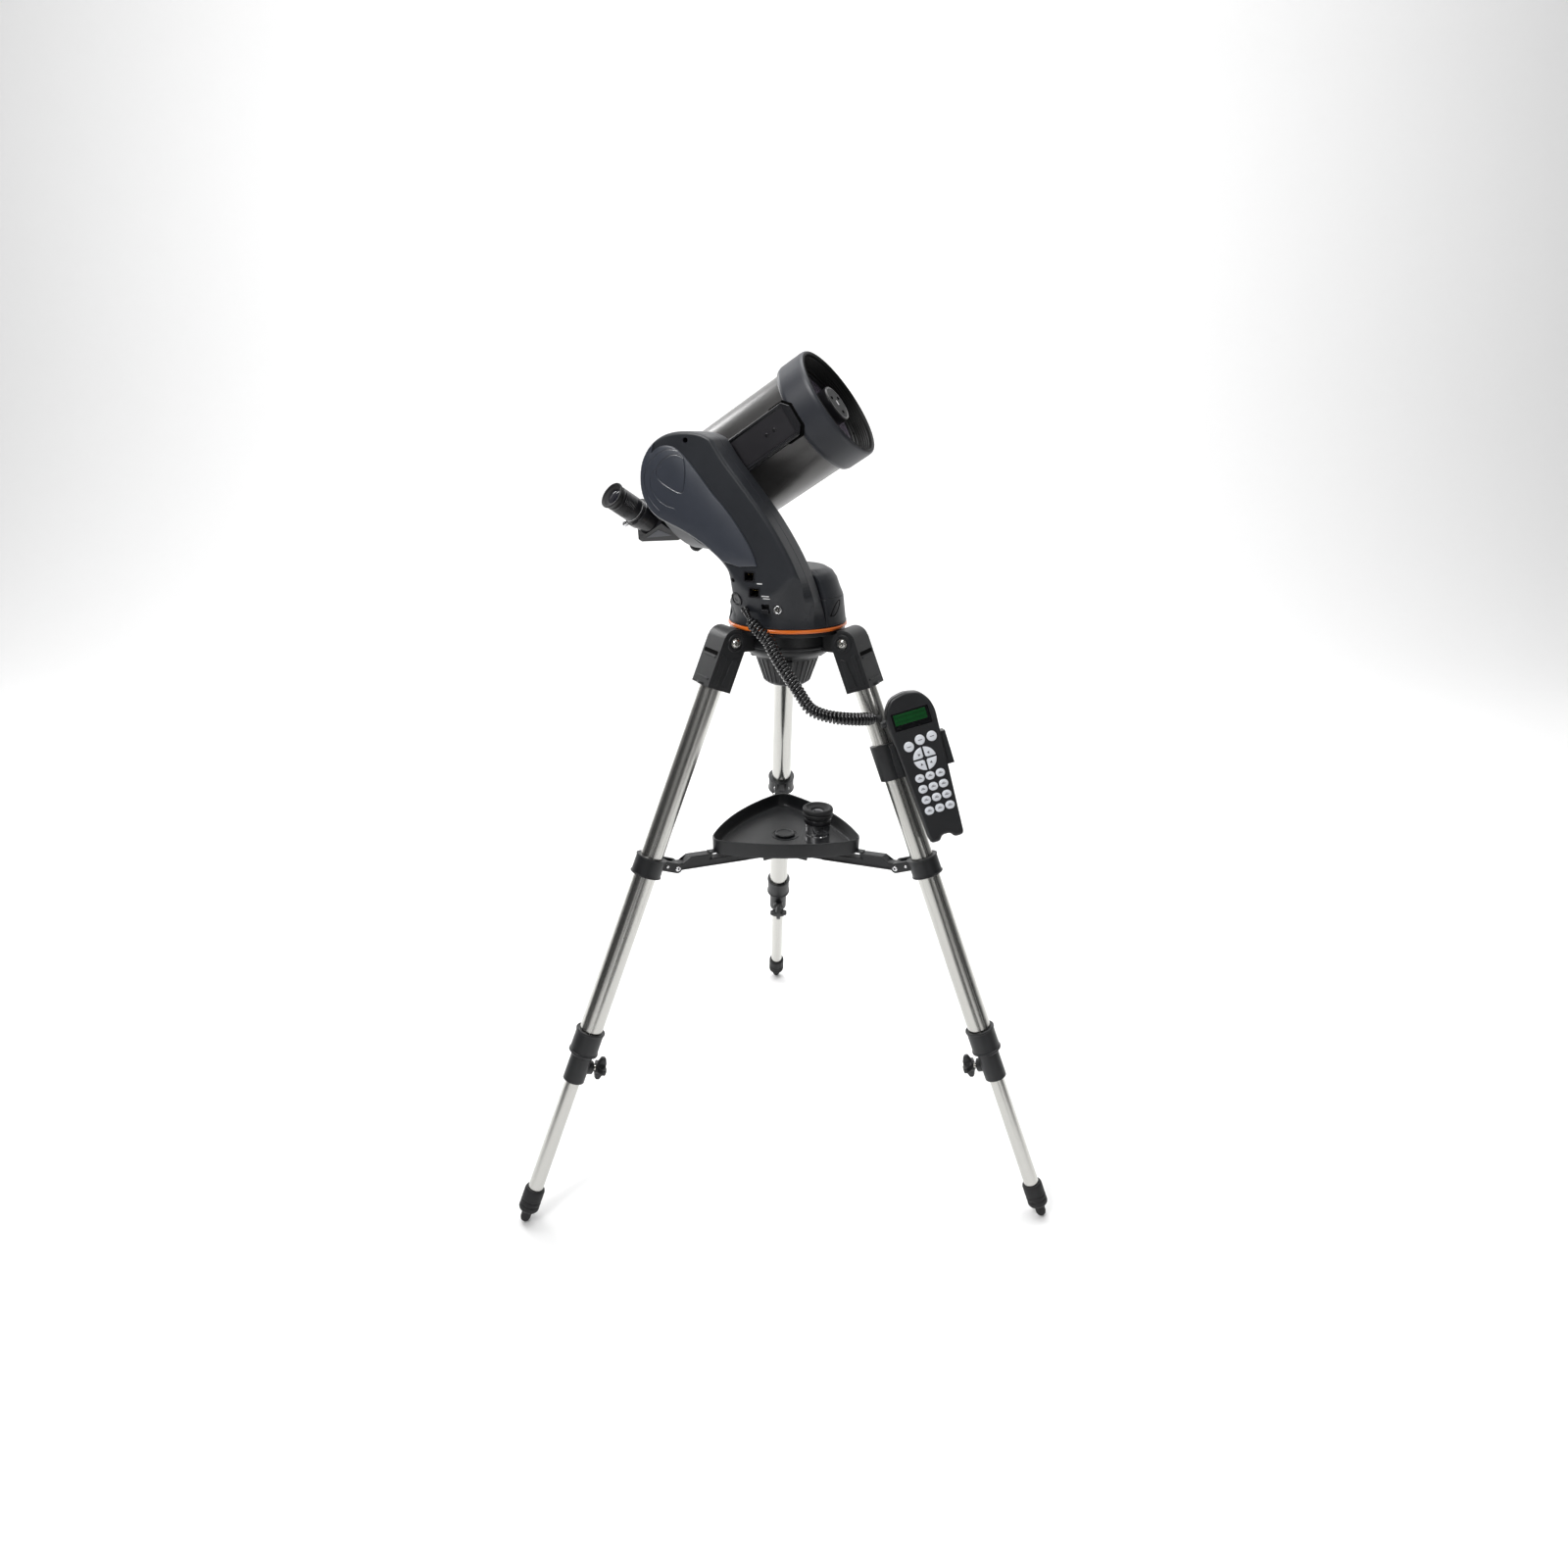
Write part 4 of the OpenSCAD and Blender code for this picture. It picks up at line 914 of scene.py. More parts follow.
def coiled(line, wire, coil, pitch):
    """The wire's centreline: a helix round the route, run out straight at both ends"""
    lengths = [0.0]
    for a, b in zip(line, line[1:]):
        lengths.append(lengths[-1] + (b - a).length)
    total = lengths[-1]
    sides = []
    side = None
    for i in range(len(line)):
        along = (line[min(i + 1, len(line) - 1)] - line[max(i - 1, 0)]).normalized()
        side = along.orthogonal() if side is None else side
        side = (side - along * side.dot(along)).normalized()
        sides.append((side.copy(), along.cross(side)))
    steps_per_turn = 14
    count = int(total / pitch * steps_per_turn)
    radius = (coil - wire) / 2
    run_out = 0.012
    path = []
    place = 0
    for k in range(count + 1):
        at = total * k / count
        while place < len(line) - 2 and lengths[place + 1] < at:
            place += 1
        share = (at - lengths[place]) / (lengths[place + 1] - lengths[place])
        here = line[place].lerp(line[place + 1], share)
        u = sides[place][0].lerp(sides[place + 1][0], share).normalized()
        v = sides[place][1].lerp(sides[place + 1][1], share).normalized()
        ease = min(1.0, at / run_out, (total - at) / run_out)
        reach = radius * ease * ease * (3 - 2 * ease)
        angle = TAU * k / steps_per_turn
        path.append(here + reach * (math.cos(angle) * u + math.sin(angle) * v))
    return path


def make_cord():
    """The curly cord is one coil in two lengths"""
    size = sizes()
    line = cord_line()
    path = coiled(line, size.wire, size.coil, size.pitch)
    middle = len(path) // 2
    jacket = grained("cord_jacket", (0.010, 0.010, 0.011), gloss=0.20, grain=1800, depth=0.05, coat=0.55)
    plug = make_plug(line, jacket)
    boot = make_boot(line)
    turning_point = path[middle]
    for name, part, joint_bodies, ends, piece_on_it in (
        ("cord_upper", path[:middle + 1], ("mount", "tripod"), (path[0], turning_point), plug),
        ("cord_lower", path[middle:], ("tripod", "leg_right"), (turning_point, path[-1]), boot),
    ):
        shape = swept([tuple(p) for p in part], size.wire / 2, sides=8)
        cord = piece_of(name, shape, Matrix.Identity(4), jacket, crisp=60)
        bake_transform(cord)
        if name == "cord_upper":
            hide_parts("cord")


def facing(point, direction):
    """Millimetre frame at a point with +Z along a direction"""
    turn = Vector(direction).normalized().to_track_quat("Z", "Y").to_matrix().to_4x4()
    return Matrix.Translation(point) @ turn @ Matrix.Scale(MM, 4)


def make_plug(line, jacket):
    """Ribbed strain relief and the modular plug behind it"""
    place = facing(line[0], line[0] - line[2])
    profile = [(0, -4)]
    for k in range(5):
        height = -3.5 + 2.6 * k
        profile += [(2.6 + 0.28 * k, height), (2.6 + 0.28 * k, height + 1.5), (2.0 + 0.28 * k, height + 1.8),
                    (2.0 + 0.28 * k, height + 2.3)]
    profile += [(4.6, 9.8), (4.6, 14), (0, 14)]
    plug = piece_of("cord_plug_form", lathe(profile, 32), place, jacket, 30)
    return mounted(weighted(plug), "mount", "cord", "cord_plug")


def make_boot(line):
    """Short strain relief where the cord enters the hand controller"""
    place = facing(line[-1], line[-3] - line[-1])
    profile = [(0, -2), (4.8, -2), (4.8, 1)]
    for k in range(4):
        profile += [(4.4 - 0.5 * k, 1.6 + 2 * k), (4.4 - 0.5 * k, 3.0 + 2 * k), (3.6 - 0.4 * k, 3.2 + 2 * k)]
    profile += [(2.2, 10), (0, 10)]
    return made("cord_boot", lathe(profile, 32), place, soft_rubber(), "leg_right", "cord", crisp=30)


# ---------- tripod ----------

def make_tripod_head():
    """The head: a fluted cone under a disc, with a lug for each leg"""
    top = axis_frame()
    profile = eased([
        (0, -73), (24, -73), (29, -69), (40, -38), (41, -34), (50, -32), (57, -25), (58, -18), (58, -1),
        (57, 0), (0, 0)], 5, steps=5)
    shapes = [lathe(profile, 128)]
    for side in SIDES:
        reach = Matrix.Rotation(math.radians(HEADINGS[side]), 4, "Z")
        lug = eased([(50, -24), (80, -24)], 1) + arc((88, -11), 11, -90, 90, 14) + [(50, 0)]
        shapes.append(moved(slab(lug, -12, 12, 1.2, 1.2), reach))
    made("tripod_head_form", joined(*shapes), top, plastic(), "tripod", "tripod_plastic", "tripod_head")
    cone = Matrix.Rotation(math.atan2(12, 34), 4, "Y")
    rib = moved(block(-0.7, 0.9, -1.0, 1.0, -16.5, 16, 0.4), cone)
    round_axis("head_flutes", rib, shifted(top, 0, 0, -53), plastic(), "tripod", "tripod_plastic", 30, 34.6)
    rim = lathe(eased([(58.2, -20), (59.2, -19), (59.2, -17), (58.2, -16), (56, -16), (56, -20)], 0.5, True,
                      2),
                128, closed=True)
    made("head_rim_bead", rim, top, plastic(), "tripod", "tripod_plastic")


def bolt_head(radius, height):
    """Domed screw head with a hexagon socket, standing on z = 0"""
    dome = eased([(0, 0), (radius, 0), (radius, 0.4 * height), (0.72 * radius, height),
                  (0.42 * radius, height)],
                 0.8, steps=3)
    head = lathe(dome + [(0.42 * radius, 0.35 * height), (0, 0.35 * height)], 30)
    return head


def make_head_bolts():
    shapes = []
    for side in SIDES:
        place = axis_frame().inverted() @ leg_frame(side)
        for way in (-1, 1):
            turn = Matrix.Rotation(math.radians(-90 * way), 4, "X")
            out = Matrix.Translation((0, way * (BRACKET_WIDTH / 2 + 0.1), 0))
            washer = lathe([(0, 0), (6.6, 0), (6.6, 0.8), (0, 0.8)], 40)
            head = moved(bolt_head(5.2, 3.0), Matrix.Translation((0, 0, 0.8)))
            shapes.append(moved(joined(washer, head), place @ out @ turn))
    made("pivot_bolts", joined(*shapes), axis_frame(), bolt_steel(), "tripod", "steel", "head_bolts")
    shank = lathe([(0, -43), (5, -43), (5.8, -42), (5.8, -35), (5, -34), (3, -34), (3, 0), (0, 0)], 32)
    place = turned(axis_frame(), 30, "Z")
    round_axis("mount_screws", shank, place, plastic(), "tripod", "tripod_plastic", 3, 48)


def make_leg(side):
    place = leg_frame(side)
    body = "leg_" + side
    rounded_copy("leg_fittings_" + side, plastic(), edge=1.3, segments=3)
    steel = drawn("tube_steel_" + side, JOINTS["leg_extension_" + side + "_slide"]["axis"])
    made("leg_tube_" + side + "_form", lathe([
        (14.1, -520.9), (14.1, -22.1), (12.9, -22.1), (12.9, -520.9)], 64, closed=True), place, steel,
        body, "steel", "leg_tube_" + side)
    bare_top = -LEG_LENGTH + 13
    made("leg_extension_" + side + "_form", lathe([
        (9, bare_top), (9, -300), (7.5, -300), (7.5, bare_top)], 48, closed=True), place, steel,
        "extension_" + side, "steel", "leg_extension_" + side)
    make_bracket_details(side, place, body)
    make_clamp_knob(side, place)
    make_foot(side, place)


def make_bracket_details(side, place, body):
    """Bosses and ribs of a leg bracket, a no-reflection black block as painted shade of its outer slot, and bright
    pins on the spreader collar
    """
    shapes = []
    for way in (-1, 1):
        out = Matrix.Translation((0, way * (BRACKET_WIDTH / 2 - 0.2), 0))
        turn = Matrix.Rotation(math.radians(-90 * way), 4, "X")
        boss = lathe([(8.2, 0), (11.4, 0), (11.4, 1.2), (10.8, 1.8), (8.8, 1.8), (8.2, 1.2)], 48, closed=True)
        shapes.append(moved(boss, out @ turn))
        wedge = eased([(-9.5, -17), (-3, -21), (1, -57), (-11, -57)], 2, closed=True)
        y = way * (BRACKET_WIDTH / 2)
        shapes.append(slab(wedge, min(y - 1.0, y + 1.0), max(y - 1.0, y + 1.0), 0.6, 0.6))
        tail = eased([(5, -19), (12, -17), (12, -57), (5.5, -57)], 2, closed=True)
        shapes.append(slab(tail, min(y - 1.0, y + 1.0), max(y - 1.0, y + 1.0), 0.6, 0.6))
    roof = [(17.0, -16.6)] + arc((0, 0), 17.0, -2, 100, 22) + arc((0, 0), 14.7, 100, -2, 22) + [(14.7, -16.6)]
    shapes.append(slab(roof, -BRACKET_WIDTH / 2, BRACKET_WIDTH / 2, 1.0, 1.0))
    for height in (-24, -52):
        shapes.append(block(16.0, 17.9, -15, 15, height - 1.2, height + 1.2, 0.5))
    shapes.append(lathe(eased([
        (14.2, -61.5), (18.6, -61.5), (19.4, -58), (14.2, -58)], 0.8, True, 2), 64, closed=True))
    for rim_z in (-279.5, -300.5):
        shapes.append(lathe(eased([
            (18.2, rim_z - 1.1), (19.5, rim_z - 0.6), (19.5, rim_z + 0.6), (18.2, rim_z + 1.1)], 0.4, True,
            2),
            64, closed=True))
    for rim_z in (-496.4, -521.4):
        shapes.append(lathe(eased([
            (16.6, rim_z - 1.5), (17.9, rim_z - 1.0), (17.9, rim_z + 1.0), (16.6, rim_z + 1.5)], 0.5, True,
            2),
            64, closed=True))
    made("bracket_details_" + side, joined(*shapes), place, plastic(), body, "tripod_plastic")
    # The outer slot is a thin block in the no-reflection black, proud of the bracket face: painted shade of the
    # slit.
    slot = block(15.0, 17.35, -17.0, 17.0, -21.2, -16.4, 0.15)
    made("bracket_slot_shade_" + side, slot, place, deep_black(), body, "tripod_plastic")
    pins = []
    for way in (-1, 1):
        turn = Matrix.Rotation(math.radians(-90 * way), 4, "X")
        at_pin = Matrix.Translation((-PIN_X, way * 10.2, -PIN_S))
        at_rivet = Matrix.Translation((-PIN_X + 15, way * 10.2, -PIN_S))
        pins.append(moved(bolt_head(3.4, 1.8), at_pin @ turn))
        pins.append(moved(bolt_head(2.0, 1.1), at_rivet @ turn))
    made("collar_pins_" + side, joined(*pins), place, chrome(), body, "steel")


def make_clamp_knob(side, place):
    """Four-winged clamp knob on its screw"""
    inward = turned(shifted(place, -9.1, 0, -541), -90, "Y")
    body = "clamp_knob_" + side
    screw = []
    for k in range(17):
        screw += [(2.5, 1.0 * k), (2.1, 1.0 * k + 0.5)]
    stem = lathe([(0, 0)] + screw + [(2.4, 20), (0, 20)], 24)
    made("clamp_screw_" + side, stem, inward, bolt_steel(), body, "steel")
    hub = lathe(eased([(0, 14), (5.2, 14), (6.2, 16), (6.2, 24.5), (4.5, 27), (0, 27)], 1), 40)
    made("clamp_knob_" + side + "_form", hub, inward, plastic(), body, "tripod_plastic", "clamp_knob_" + side)
    wing = slab(eased([(0, 15.5), (5, 15), (13.2, 19), (13.2, 23.5), (6, 27), (0, 26.5)], 1, True), -3, 3,
                1.2, 1.2)
    round_axis("clamp_wings_" + side, wing, inward, plastic(), body, "tripod_plastic", 4)


def make_foot(side, place):
    low = shifted(place, 0, 0, -LEG_LENGTH)
    profile = [(0, -6), (2.6, -5.5), (4.8, -3.8), (5.9, -1.2), (6, 5), (7.5, 7.6), (10.6, 8.4), (12, 10.5),
               (12, 14), (11.2, 14.6), (11.2, 15.8), (12, 16.4), (12, 19), (11.2, 19.6), (11.2, 20.8),
               (12, 21.4), (12, 31.5), (11.2, 33.6), (9.05, 34), (9.05, 13.2), (0, 13.2)]
    made("leg_foot_" + side + "_form", lathe(eased(profile, 0.5, steps=2), 48), low, soft_rubber(),
         "extension_" + side, "rubber", "leg_foot_" + side)


def make_spreader():
    for side in SIDES:
        node = "spreader_arm_" + side
        rounded_copy(node, plastic(), edge=0.9)
        place = spreader_frame(side)
        shapes = []
        for way in (-1, 1):
            y = way * 6.0
            near, far = min(y, y + way * 0.8), max(y, y + way * 0.8)
            for outline in (
                [(-104, -4.4), (-6, -4.4), (-6, -2.6), (-104, -2.6)],
                [(-104, 2.6), (-46, 2.6), (-46, 4.4), (-104, 4.4)],
                [(-17, 8.6), (-44, 8.6), (-44, 10.6), (-18.5, 10.6)],
                [(-6, 3), (-9, 0.6), (-21, 8.4), (-18, 10.6)],
            ):
                shapes.append(slab(eased(outline, 0.6, True, 2), near - 0.4, far, 0.3, 0.3))
            shapes.append(slab(arc((0, 0), 4.6, 0, 345, 23), near - 0.4, far, 0.3, 0.3))
        hook = eased([(-50, 3), (-46, 3), (-46, 12.5), (-58, 12.5), (-58, 10.5), (-50, 10.5)], 0.7, True, 2)
        shapes.append(slab(hook, -5.0, 5.0, 0.6, 0.6))
        made("arm_ribs_" + side, joined(*shapes), place, plastic(), "arm_" + side, "tripod_plastic")
    rounded_copy("spreader_hub", plastic(), edge=0.6)


def tray_radius(angle):
    """Distance from the tray's centre to its edge, in degrees from +X"""
    big, centre, corner = 272.8, -199.8, 107.0
    reach = corner
    for turn in (30, 150, 270):
        lean = math.radians(angle - turn)
        reach = min(reach, centre * math.cos(lean) + math.sqrt(big ** 2 - (centre * math.sin(lean)) ** 2))
    return reach


def tray_ring(into, height, count=240):
    """Points of the tray's edge with its corners softened"""
    ring = []
    for i in range(count):
        angle = 360 * i / count
        reach = sum(tray_radius(angle + d) for d in (-4, -2, 0, 2, 4)) / 5 - into
        ring.append((reach * math.cos(math.radians(angle)), reach * math.sin(math.radians(angle)), height))
    return ring


def make_tray():
    """The bowl: a floor, a flared wall with a rolled rim and a shallow centre ring"""
    levels = [(14, 0), (3.5, 0), (1.2, 0.8), (0.3, 3), (0, 14), (-0.4, 17.6), (-0.2, 19), (0.8, 19.6),
              (1.9, 19), (2.3, 17.6), (2.6, 12), (3.4, 5.2), (5.4, 2.8), (9, 2.0), (16, 1.9)]
    count = 240
    points, faces = [], []
    for into, height in levels:
        points += tray_ring(into, height, count)
    for k in range(len(levels) - 1):
        for i in range(count):
            j = (i + 1) % count
            faces.append([k * count + i, k * count + j, (k + 1) * count + j, (k + 1) * count + i])
    faces.append(list(reversed(range(count))))
    faces.append(list(range(len(points) - count, len(points))))
    place = axis_frame(TRAY_FLOOR - 2.1)
    made("accessory_tray_form", (points, faces), place, plastic(), "tray", "tripod_plastic", "accessory_tray")
    ring = lathe(eased([(16.5, 1.8), (18.2, 1.8), (18.2, 2.6), (16.5, 2.6)], 0.3, True, 2), 72, closed=True)
    made("tray_centre_ring", ring, place, plastic(), "tray", "tripod_plastic")
    knob = lathe(eased([
        (0, -18), (5.9, -18), (5.9, 2.4), (12.4, 2.4), (13, 3.0), (13, 4.6), (12.2, 5.4), (10.6, 5.4),
        (10.0, 4.4),
        (0, 4.2)], 0.4), 72)
    made("tray_lock_form", knob, place, plastic(), "tray_lock", "tripod_plastic", "tray_lock")
    rib = block(12.6, 13.4, -0.8, 0.8, 3.2, 4.6, 0.3)
    round_axis("tray_lock_ribs", rib, place, plastic(), "tray_lock", "tripod_plastic", 18)


# ---------- eyepieces ----------

def make_tray_eyepiece():
    place = shifted(axis_frame(TRAY_FLOOR + 0.3), 42, -18, 0)
    body, slot = "tray_eyepiece", "eyepiece_black"
    barrel = eased([(0, 0.6), (13.4, 0.6), (13.4, 0), (15.4, 0), (15.85, 0.6), (15.85, 9), (15.3, 10),
                    (15.3, 13),
                    (15.85, 14), (15.85, 24.5), (0, 24.5)], 0.3, steps=2)
    made("tray_eyepiece_barrel", lathe(barrel, 72), place, chrome(), body, slot, "tray_eyepiece")
    shell = eased([(0, 24.2), (17, 24.2), (17.4, 25), (17.4, 30), (16.8, 31), (17.2, 32), (17.2, 33.5),
                   (0, 33.5)],
                  0.4, steps=2)
    made("tray_eyepiece_shell", lathe(shell, 72), place, satin_black(), body, slot)
    cup = eased([(0, 33), (18.2, 33), (19.6, 34), (19.8, 37.5), (18.8, 38.6), (19.9, 39.8), (19.9, 43.2),
                 (18.6, 45),
                 (15.6, 45), (13.4, 42.6), (9, 41.4), (8.4, 39.6), (0, 39.6)], 0.7, steps=3)
    made("tray_eyepiece_cup", lathe(cup, 72), place, soft_rubber(), body, slot)
    lens = [(0, 41.6), (3, 41.4), (5.8, 40.8), (8, 39.8), (0, 39.7)]
    made("tray_eyepiece_lens", lathe(lens, 48), place, glassy("eye_lens", (0.012, 0.012, 0.018), 0.1), body,
         slot)
    rib = block(17.0, 17.9, -0.45, 0.45, 25.6, 29.6, 0.2)
    round_axis("tray_eyepiece_grip", rib, place, satin_black(), body, slot, 40)


def thumb_screw(name, place, body, node):
    """Knurled thumbscrew with its stem"""
    profile = eased([(0, 16.1), (2, 16.1), (2, 22.4), (2.8, 22.8), (2.8, 24), (3.9, 24.3), (3.9, 29.6),
                     (3.3, 30.2),
                     (0, 30.2)], 0.3, steps=2)
    made(name + "_form", lathe(profile, 36), place, chrome(), body, "chrome", node)
    rib = block(3.6, 4.35, -0.28, 0.28, 24.8, 29.2, 0.15)
    round_axis(name + "_knurl", rib, place, chrome(), body, "chrome", 20)


def make_diagonal():
    place = diagonal_frame()
    rounded_copy("diagonal_body", satin_black(), edge=0.9, segments=3)
    rounded_copy("diagonal_prism", glassy("prism_glass", (0.8, 0.84, 0.88), 0.9), edge=0.3)
    collar = lathe(eased([(19.2, 35.6), (20.8, 36.4), (20.8, 45), (19.6, 46), (16.2, 46), (16.2, 35.6)],
                         0.6, True, 2),
                   72, closed=True)
    made("holder_collar", collar, place, satin_black(), "diagonal", "black")
    line = lathe([(16.2, 45.8), (19.5, 45.8), (19.5, 46.5), (16.2, 46.5)], 72, closed=True)
    made("holder_bright_ring", line, place, chrome(), "diagonal", "chrome")
    badge = slab(eased([(-13, 14), (9, 14), (14, -9)], 1.5, True), -20.4, -19.8, 0.2, 0.2)
    made("housing_panel", badge, place, trim_plastic(), "diagonal", "black")
    screw_place = turned(shifted(place, 0, 0, 40), -90, "Y")
    thumb_screw("diagonal_screw", screw_place, "diagonal_screw", "diagonal_screw")


def make_eyepiece():
    place = diagonal_frame()
    body, slot = "eyepiece", "eyepiece_black"
    barrel = eased([(0, 22), (15.85, 22), (15.85, 46.6), (0, 46.6)], 0.4, steps=2)
    made("eyepiece_barrel", lathe(barrel, 64), place, chrome(), body, slot)
    profile = [(0, 46.6), (16.8, 46.6), (17.5, 47.4), (17.5, 61.5)]
    for k in range(9):
        height = 62 + 2.3 * k
        profile += [(17.0, height), (17.0, height + 0.7), (17.5, height + 1.1), (17.5, height + 1.9)]
    profile += [(17.5, 84), (16.4, 85), (0, 85)]
    made("eyepiece_form", lathe(profile, 96), place, satin_black(), body, slot, "eyepiece", crisp=30)
    cup = eased([(0, 84.6), (16.6, 84.6), (16.9, 87), (18.2, 90), (19.2, 92.6), (18.9, EYE_END),
                 (17.4, EYE_END),
                 (15.6, 91.4), (11.6, 90.6), (10.6, 88.8), (0, 88.8)], 0.6, steps=3)
    made("eyepiece_cup", lathe(cup, 72), place, soft_rubber(), body, slot)
    lens = [(0, 91.0), (3.5, 90.8), (7, 90.2), (10.4, 89.0), (0, 88.9)]
    made("eyepiece_lens", lathe(lens, 48), place, glassy("eye_lens", (0.012, 0.012, 0.018), 0.1), body, slot)
    band = lathe([(17.4, 51), (17.62, 51), (17.62, 51.6), (17.4, 51.6)], 72, closed=True)
    made("eyepiece_white_line", band, place, grained("print_white", (0.72, 0.72, 0.72), gloss=0.5), body,
         slot)


# ---------- mount ----------

# Side of the battery dome as (height, radius), as it is drawn in and as the frame has it
DOME_SIDE = [(0, 75), (20, 75), (30, 74), (45, 71), (57, 66), (67, 62.5), (75, 57), (80, 48)]
DOME_PLAIN = [(0, 75), (45, 75), (57, 73), (67, 68), (74.5, 60), (80, 48)]


def level_radius(profile, height):
    """Radius at a height on a line of (height, radius) points"""
    for (low, r0), (high, r1) in zip(profile, profile[1:]):
        if height <= high:
            return r0 + (r1 - r0) * max(0.0, height - low) / (high - low)
    return profile[-1][1]


def domed(piece):
    """Draws the side of the battery dome in towards its top"""
    place = mount_frame().inverted()
    for vertex in piece.data.vertices:
        spot = place @ vertex.co
        share = level_radius(DOME_SIDE, spot.z) / level_radius(DOME_PLAIN, spot.z)
        vertex.co = mount_frame() @ Vector((spot.x * share, spot.y * share, spot.z))


def make_base():
    top = mount_frame()
    rounded_copy("azimuth_base", plastic(), edge=0.6)
    rounded_copy("azimuth_gear", grained("gear_brass", (0.62, 0.44, 0.17), gloss=0.3, metallic=1.0), edge=0.2)
    ring = lathe(eased([(69.2, 5.1), (75.2, 5.1), (76.2, 6.2), (76.4, 7.5), (76.2, 8.9), (75.2, 9.9),
                        (69.2, 9.9)],
                       0.9, True, 3), 160, closed=True)
    made("accent_ring_form", ring, top, grained("accent_orange", colours().accent, gloss=0.3, grain=1500,
                                                mottle=0.08,
                                                depth=0.05, coat=0.3), "tripod", "orange", "accent_ring")
    domed(rounded_copy("base_shell", shell_plastic(), edge=1.0))
    domed(rounded_copy("battery_cover", shell_plastic(), edge=1.4, segments=3))
    # The recess line round the battery door is a thin tube in the no-reflection black laid on the shell: painted
    # shade in the groove.
    leaf = [(-23, 24), (-19, 33), (-14, 40), (-9, 42.5), (-9.5, 36), (-13, 29), (-18, 24), (-23, 24)]
    path = [(75.05 * math.cos(math.radians(p.x)), 75.05 * math.sin(math.radians(p.x)), p.y)
            for p in smooth_run(leaf, 6)]
    made("door_recess_shade_line", swept(path[:-1], 0.55, 8, ends=False), top, deep_black(), "mount", "shell")
    lip = lathe(eased([(74.2, 10.6), (75.6, 10.8), (75.6, 12.4), (74.2, 12.6)], 0.4, True, 2), 160,
                closed=True)
    made("base_lip", lip, top, shell_plastic(), "mount", "shell")


ARM_REAR = [(-65, 10.6), (-56, 33), (-48, 56), (-45, 75), (-55, 90), (-77, 107.5), (-104, 123)]
ARM_FRONT = [(-51, 214), (-24, 182), (3, 149), (26, 115), (42, 86), (56, 52), (67, 10.6)]


def head_point(degrees):
    """A point of the arm's round head, which is fuller towards the back"""
    c, s = math.cos(math.radians(degrees)), math.sin(math.radians(degrees))
    across = math.copysign(abs(c) ** 0.85, c) * (HEAD_REACH if c < 0 else HEAD_RADIUS)
    return Vector((across - HEAD_BACK, HEAD_HEIGHT + math.copysign(abs(s) ** 0.92, s) * HEAD_RADIUS))


def arm_outline():
    """The arm's side view: smooth edges that run into a round head"""
    head = [head_point(a) for a in range(246, 57, -4)]
    rear = smooth_run(ARM_REAR + [tuple(head[0])], 5)
    front = smooth_run([tuple(head[-1])] + ARM_FRONT, 6)
    return [tuple(p) for p in rear[:-1] + head[:-1] + front]


def arm_limit(z):
    """Radius of the round base that the arm's foot follows, wider higher up"""
    if z < 22:
        return BASE_RADIUS
    if z < 90:
        return BASE_RADIUS + (z - 22) * 23 / 68
    return 98 + 3 * (z - 90)


def gridded(shape, x_step, z_step, z_top):
    """Cuts a shape's faces by planes so that its lower part can bend"""
    mesh = bpy.data.meshes.new("grid")
    mesh.from_pydata(shape[0], [], shape[1])
    work = bmesh.new()
    work.from_mesh(mesh)
    bpy.data.meshes.remove(mesh)
    bmesh.ops.recalc_face_normals(work, faces=work.faces)
    xs = [p[0] for p in shape[0]]
    z = 13.0
    while z < z_top:
        cut_plane(work, (0, 0, z), (0, 0, 1))
        z += z_step
    x = min(xs) + x_step
    while x < max(xs):
        cut_plane(work, (x, 0, 0), (1, 0, 0))
        x += x_step
    work.verts.ensure_lookup_table()
    points = [tuple(v.co) for v in work.verts]
    faces = [[v.index for v in f.verts] for f in work.faces]
    work.free()
    return points, faces


def cut_plane(work, point, normal):
    geometry = work.verts[:] + work.edges[:] + work.faces[:]
    bmesh.ops.bisect_plane(work, geom=geometry, plane_co=point, plane_no=normal, dist=1e-5)
    work.verts.index_update()


def fitted_to_base(shape):
    points = []
    for x, y, z in shape[0]:
        reach = math.hypot(x, y)
        limit = arm_limit(z)
        share = min(1.0, limit / reach) if reach > 1e-6 else 1.0
        points.append((x * share, y * share, z))
    return points, shape[1]


PANEL_FRONT = [(-150, 222), (-140, 229), (-128, 231), (-116, 227.5), (-103, 216.5), (-87, 199), (-66, 174),
               (-51, 158.5), (-37, 142), (-23, 122.5), (-12, 104), (-6, 88)]
CROWN_WIDTH = 24.0
CROWN_HEIGHT = 3.2
# Heading and height of the side plug and of the screw hole above it
PLUG_PLACE = (242, 44)
HOLE_PLACE = (244, 69)
# Left end, right end, lower edge and height of the dashes beside the sockets
PRINTED_LINES = ((-6.5, 0.5, 66.5, 1.4), (-0.5, 9.5, 51.8, 1.2), (1.5, 10.5, 48.8, 1.2))


def panel_outline():
    """The raised panel: the arm's rear edge on one side and one sweeping line on the other"""
    edge = [Vector(p) for p in arm_outline()]
    centre = Vector((-HEAD_BACK, HEAD_HEIGHT))
    kept = []
    for p in edge:
        on_rear = p.x < -40 and 84 < p.y < 140 and p.x < -0.6 * p.y
        on_head = (p - centre).length < HEAD_REACH + 4 and p.x < -148 or (p.y < 160 and p.x < -118)
        if on_rear or on_head:
            kept.append(p)
    rear = inset([tuple(p) for p in edge][::-1], 2.6)[::-1]
    rear = [r for r, p in zip(rear, edge) if p in kept]
    front = [tuple(p) for p in smooth_run(PANEL_FRONT, 4)]
    return rear + front + [(-30, 86)]


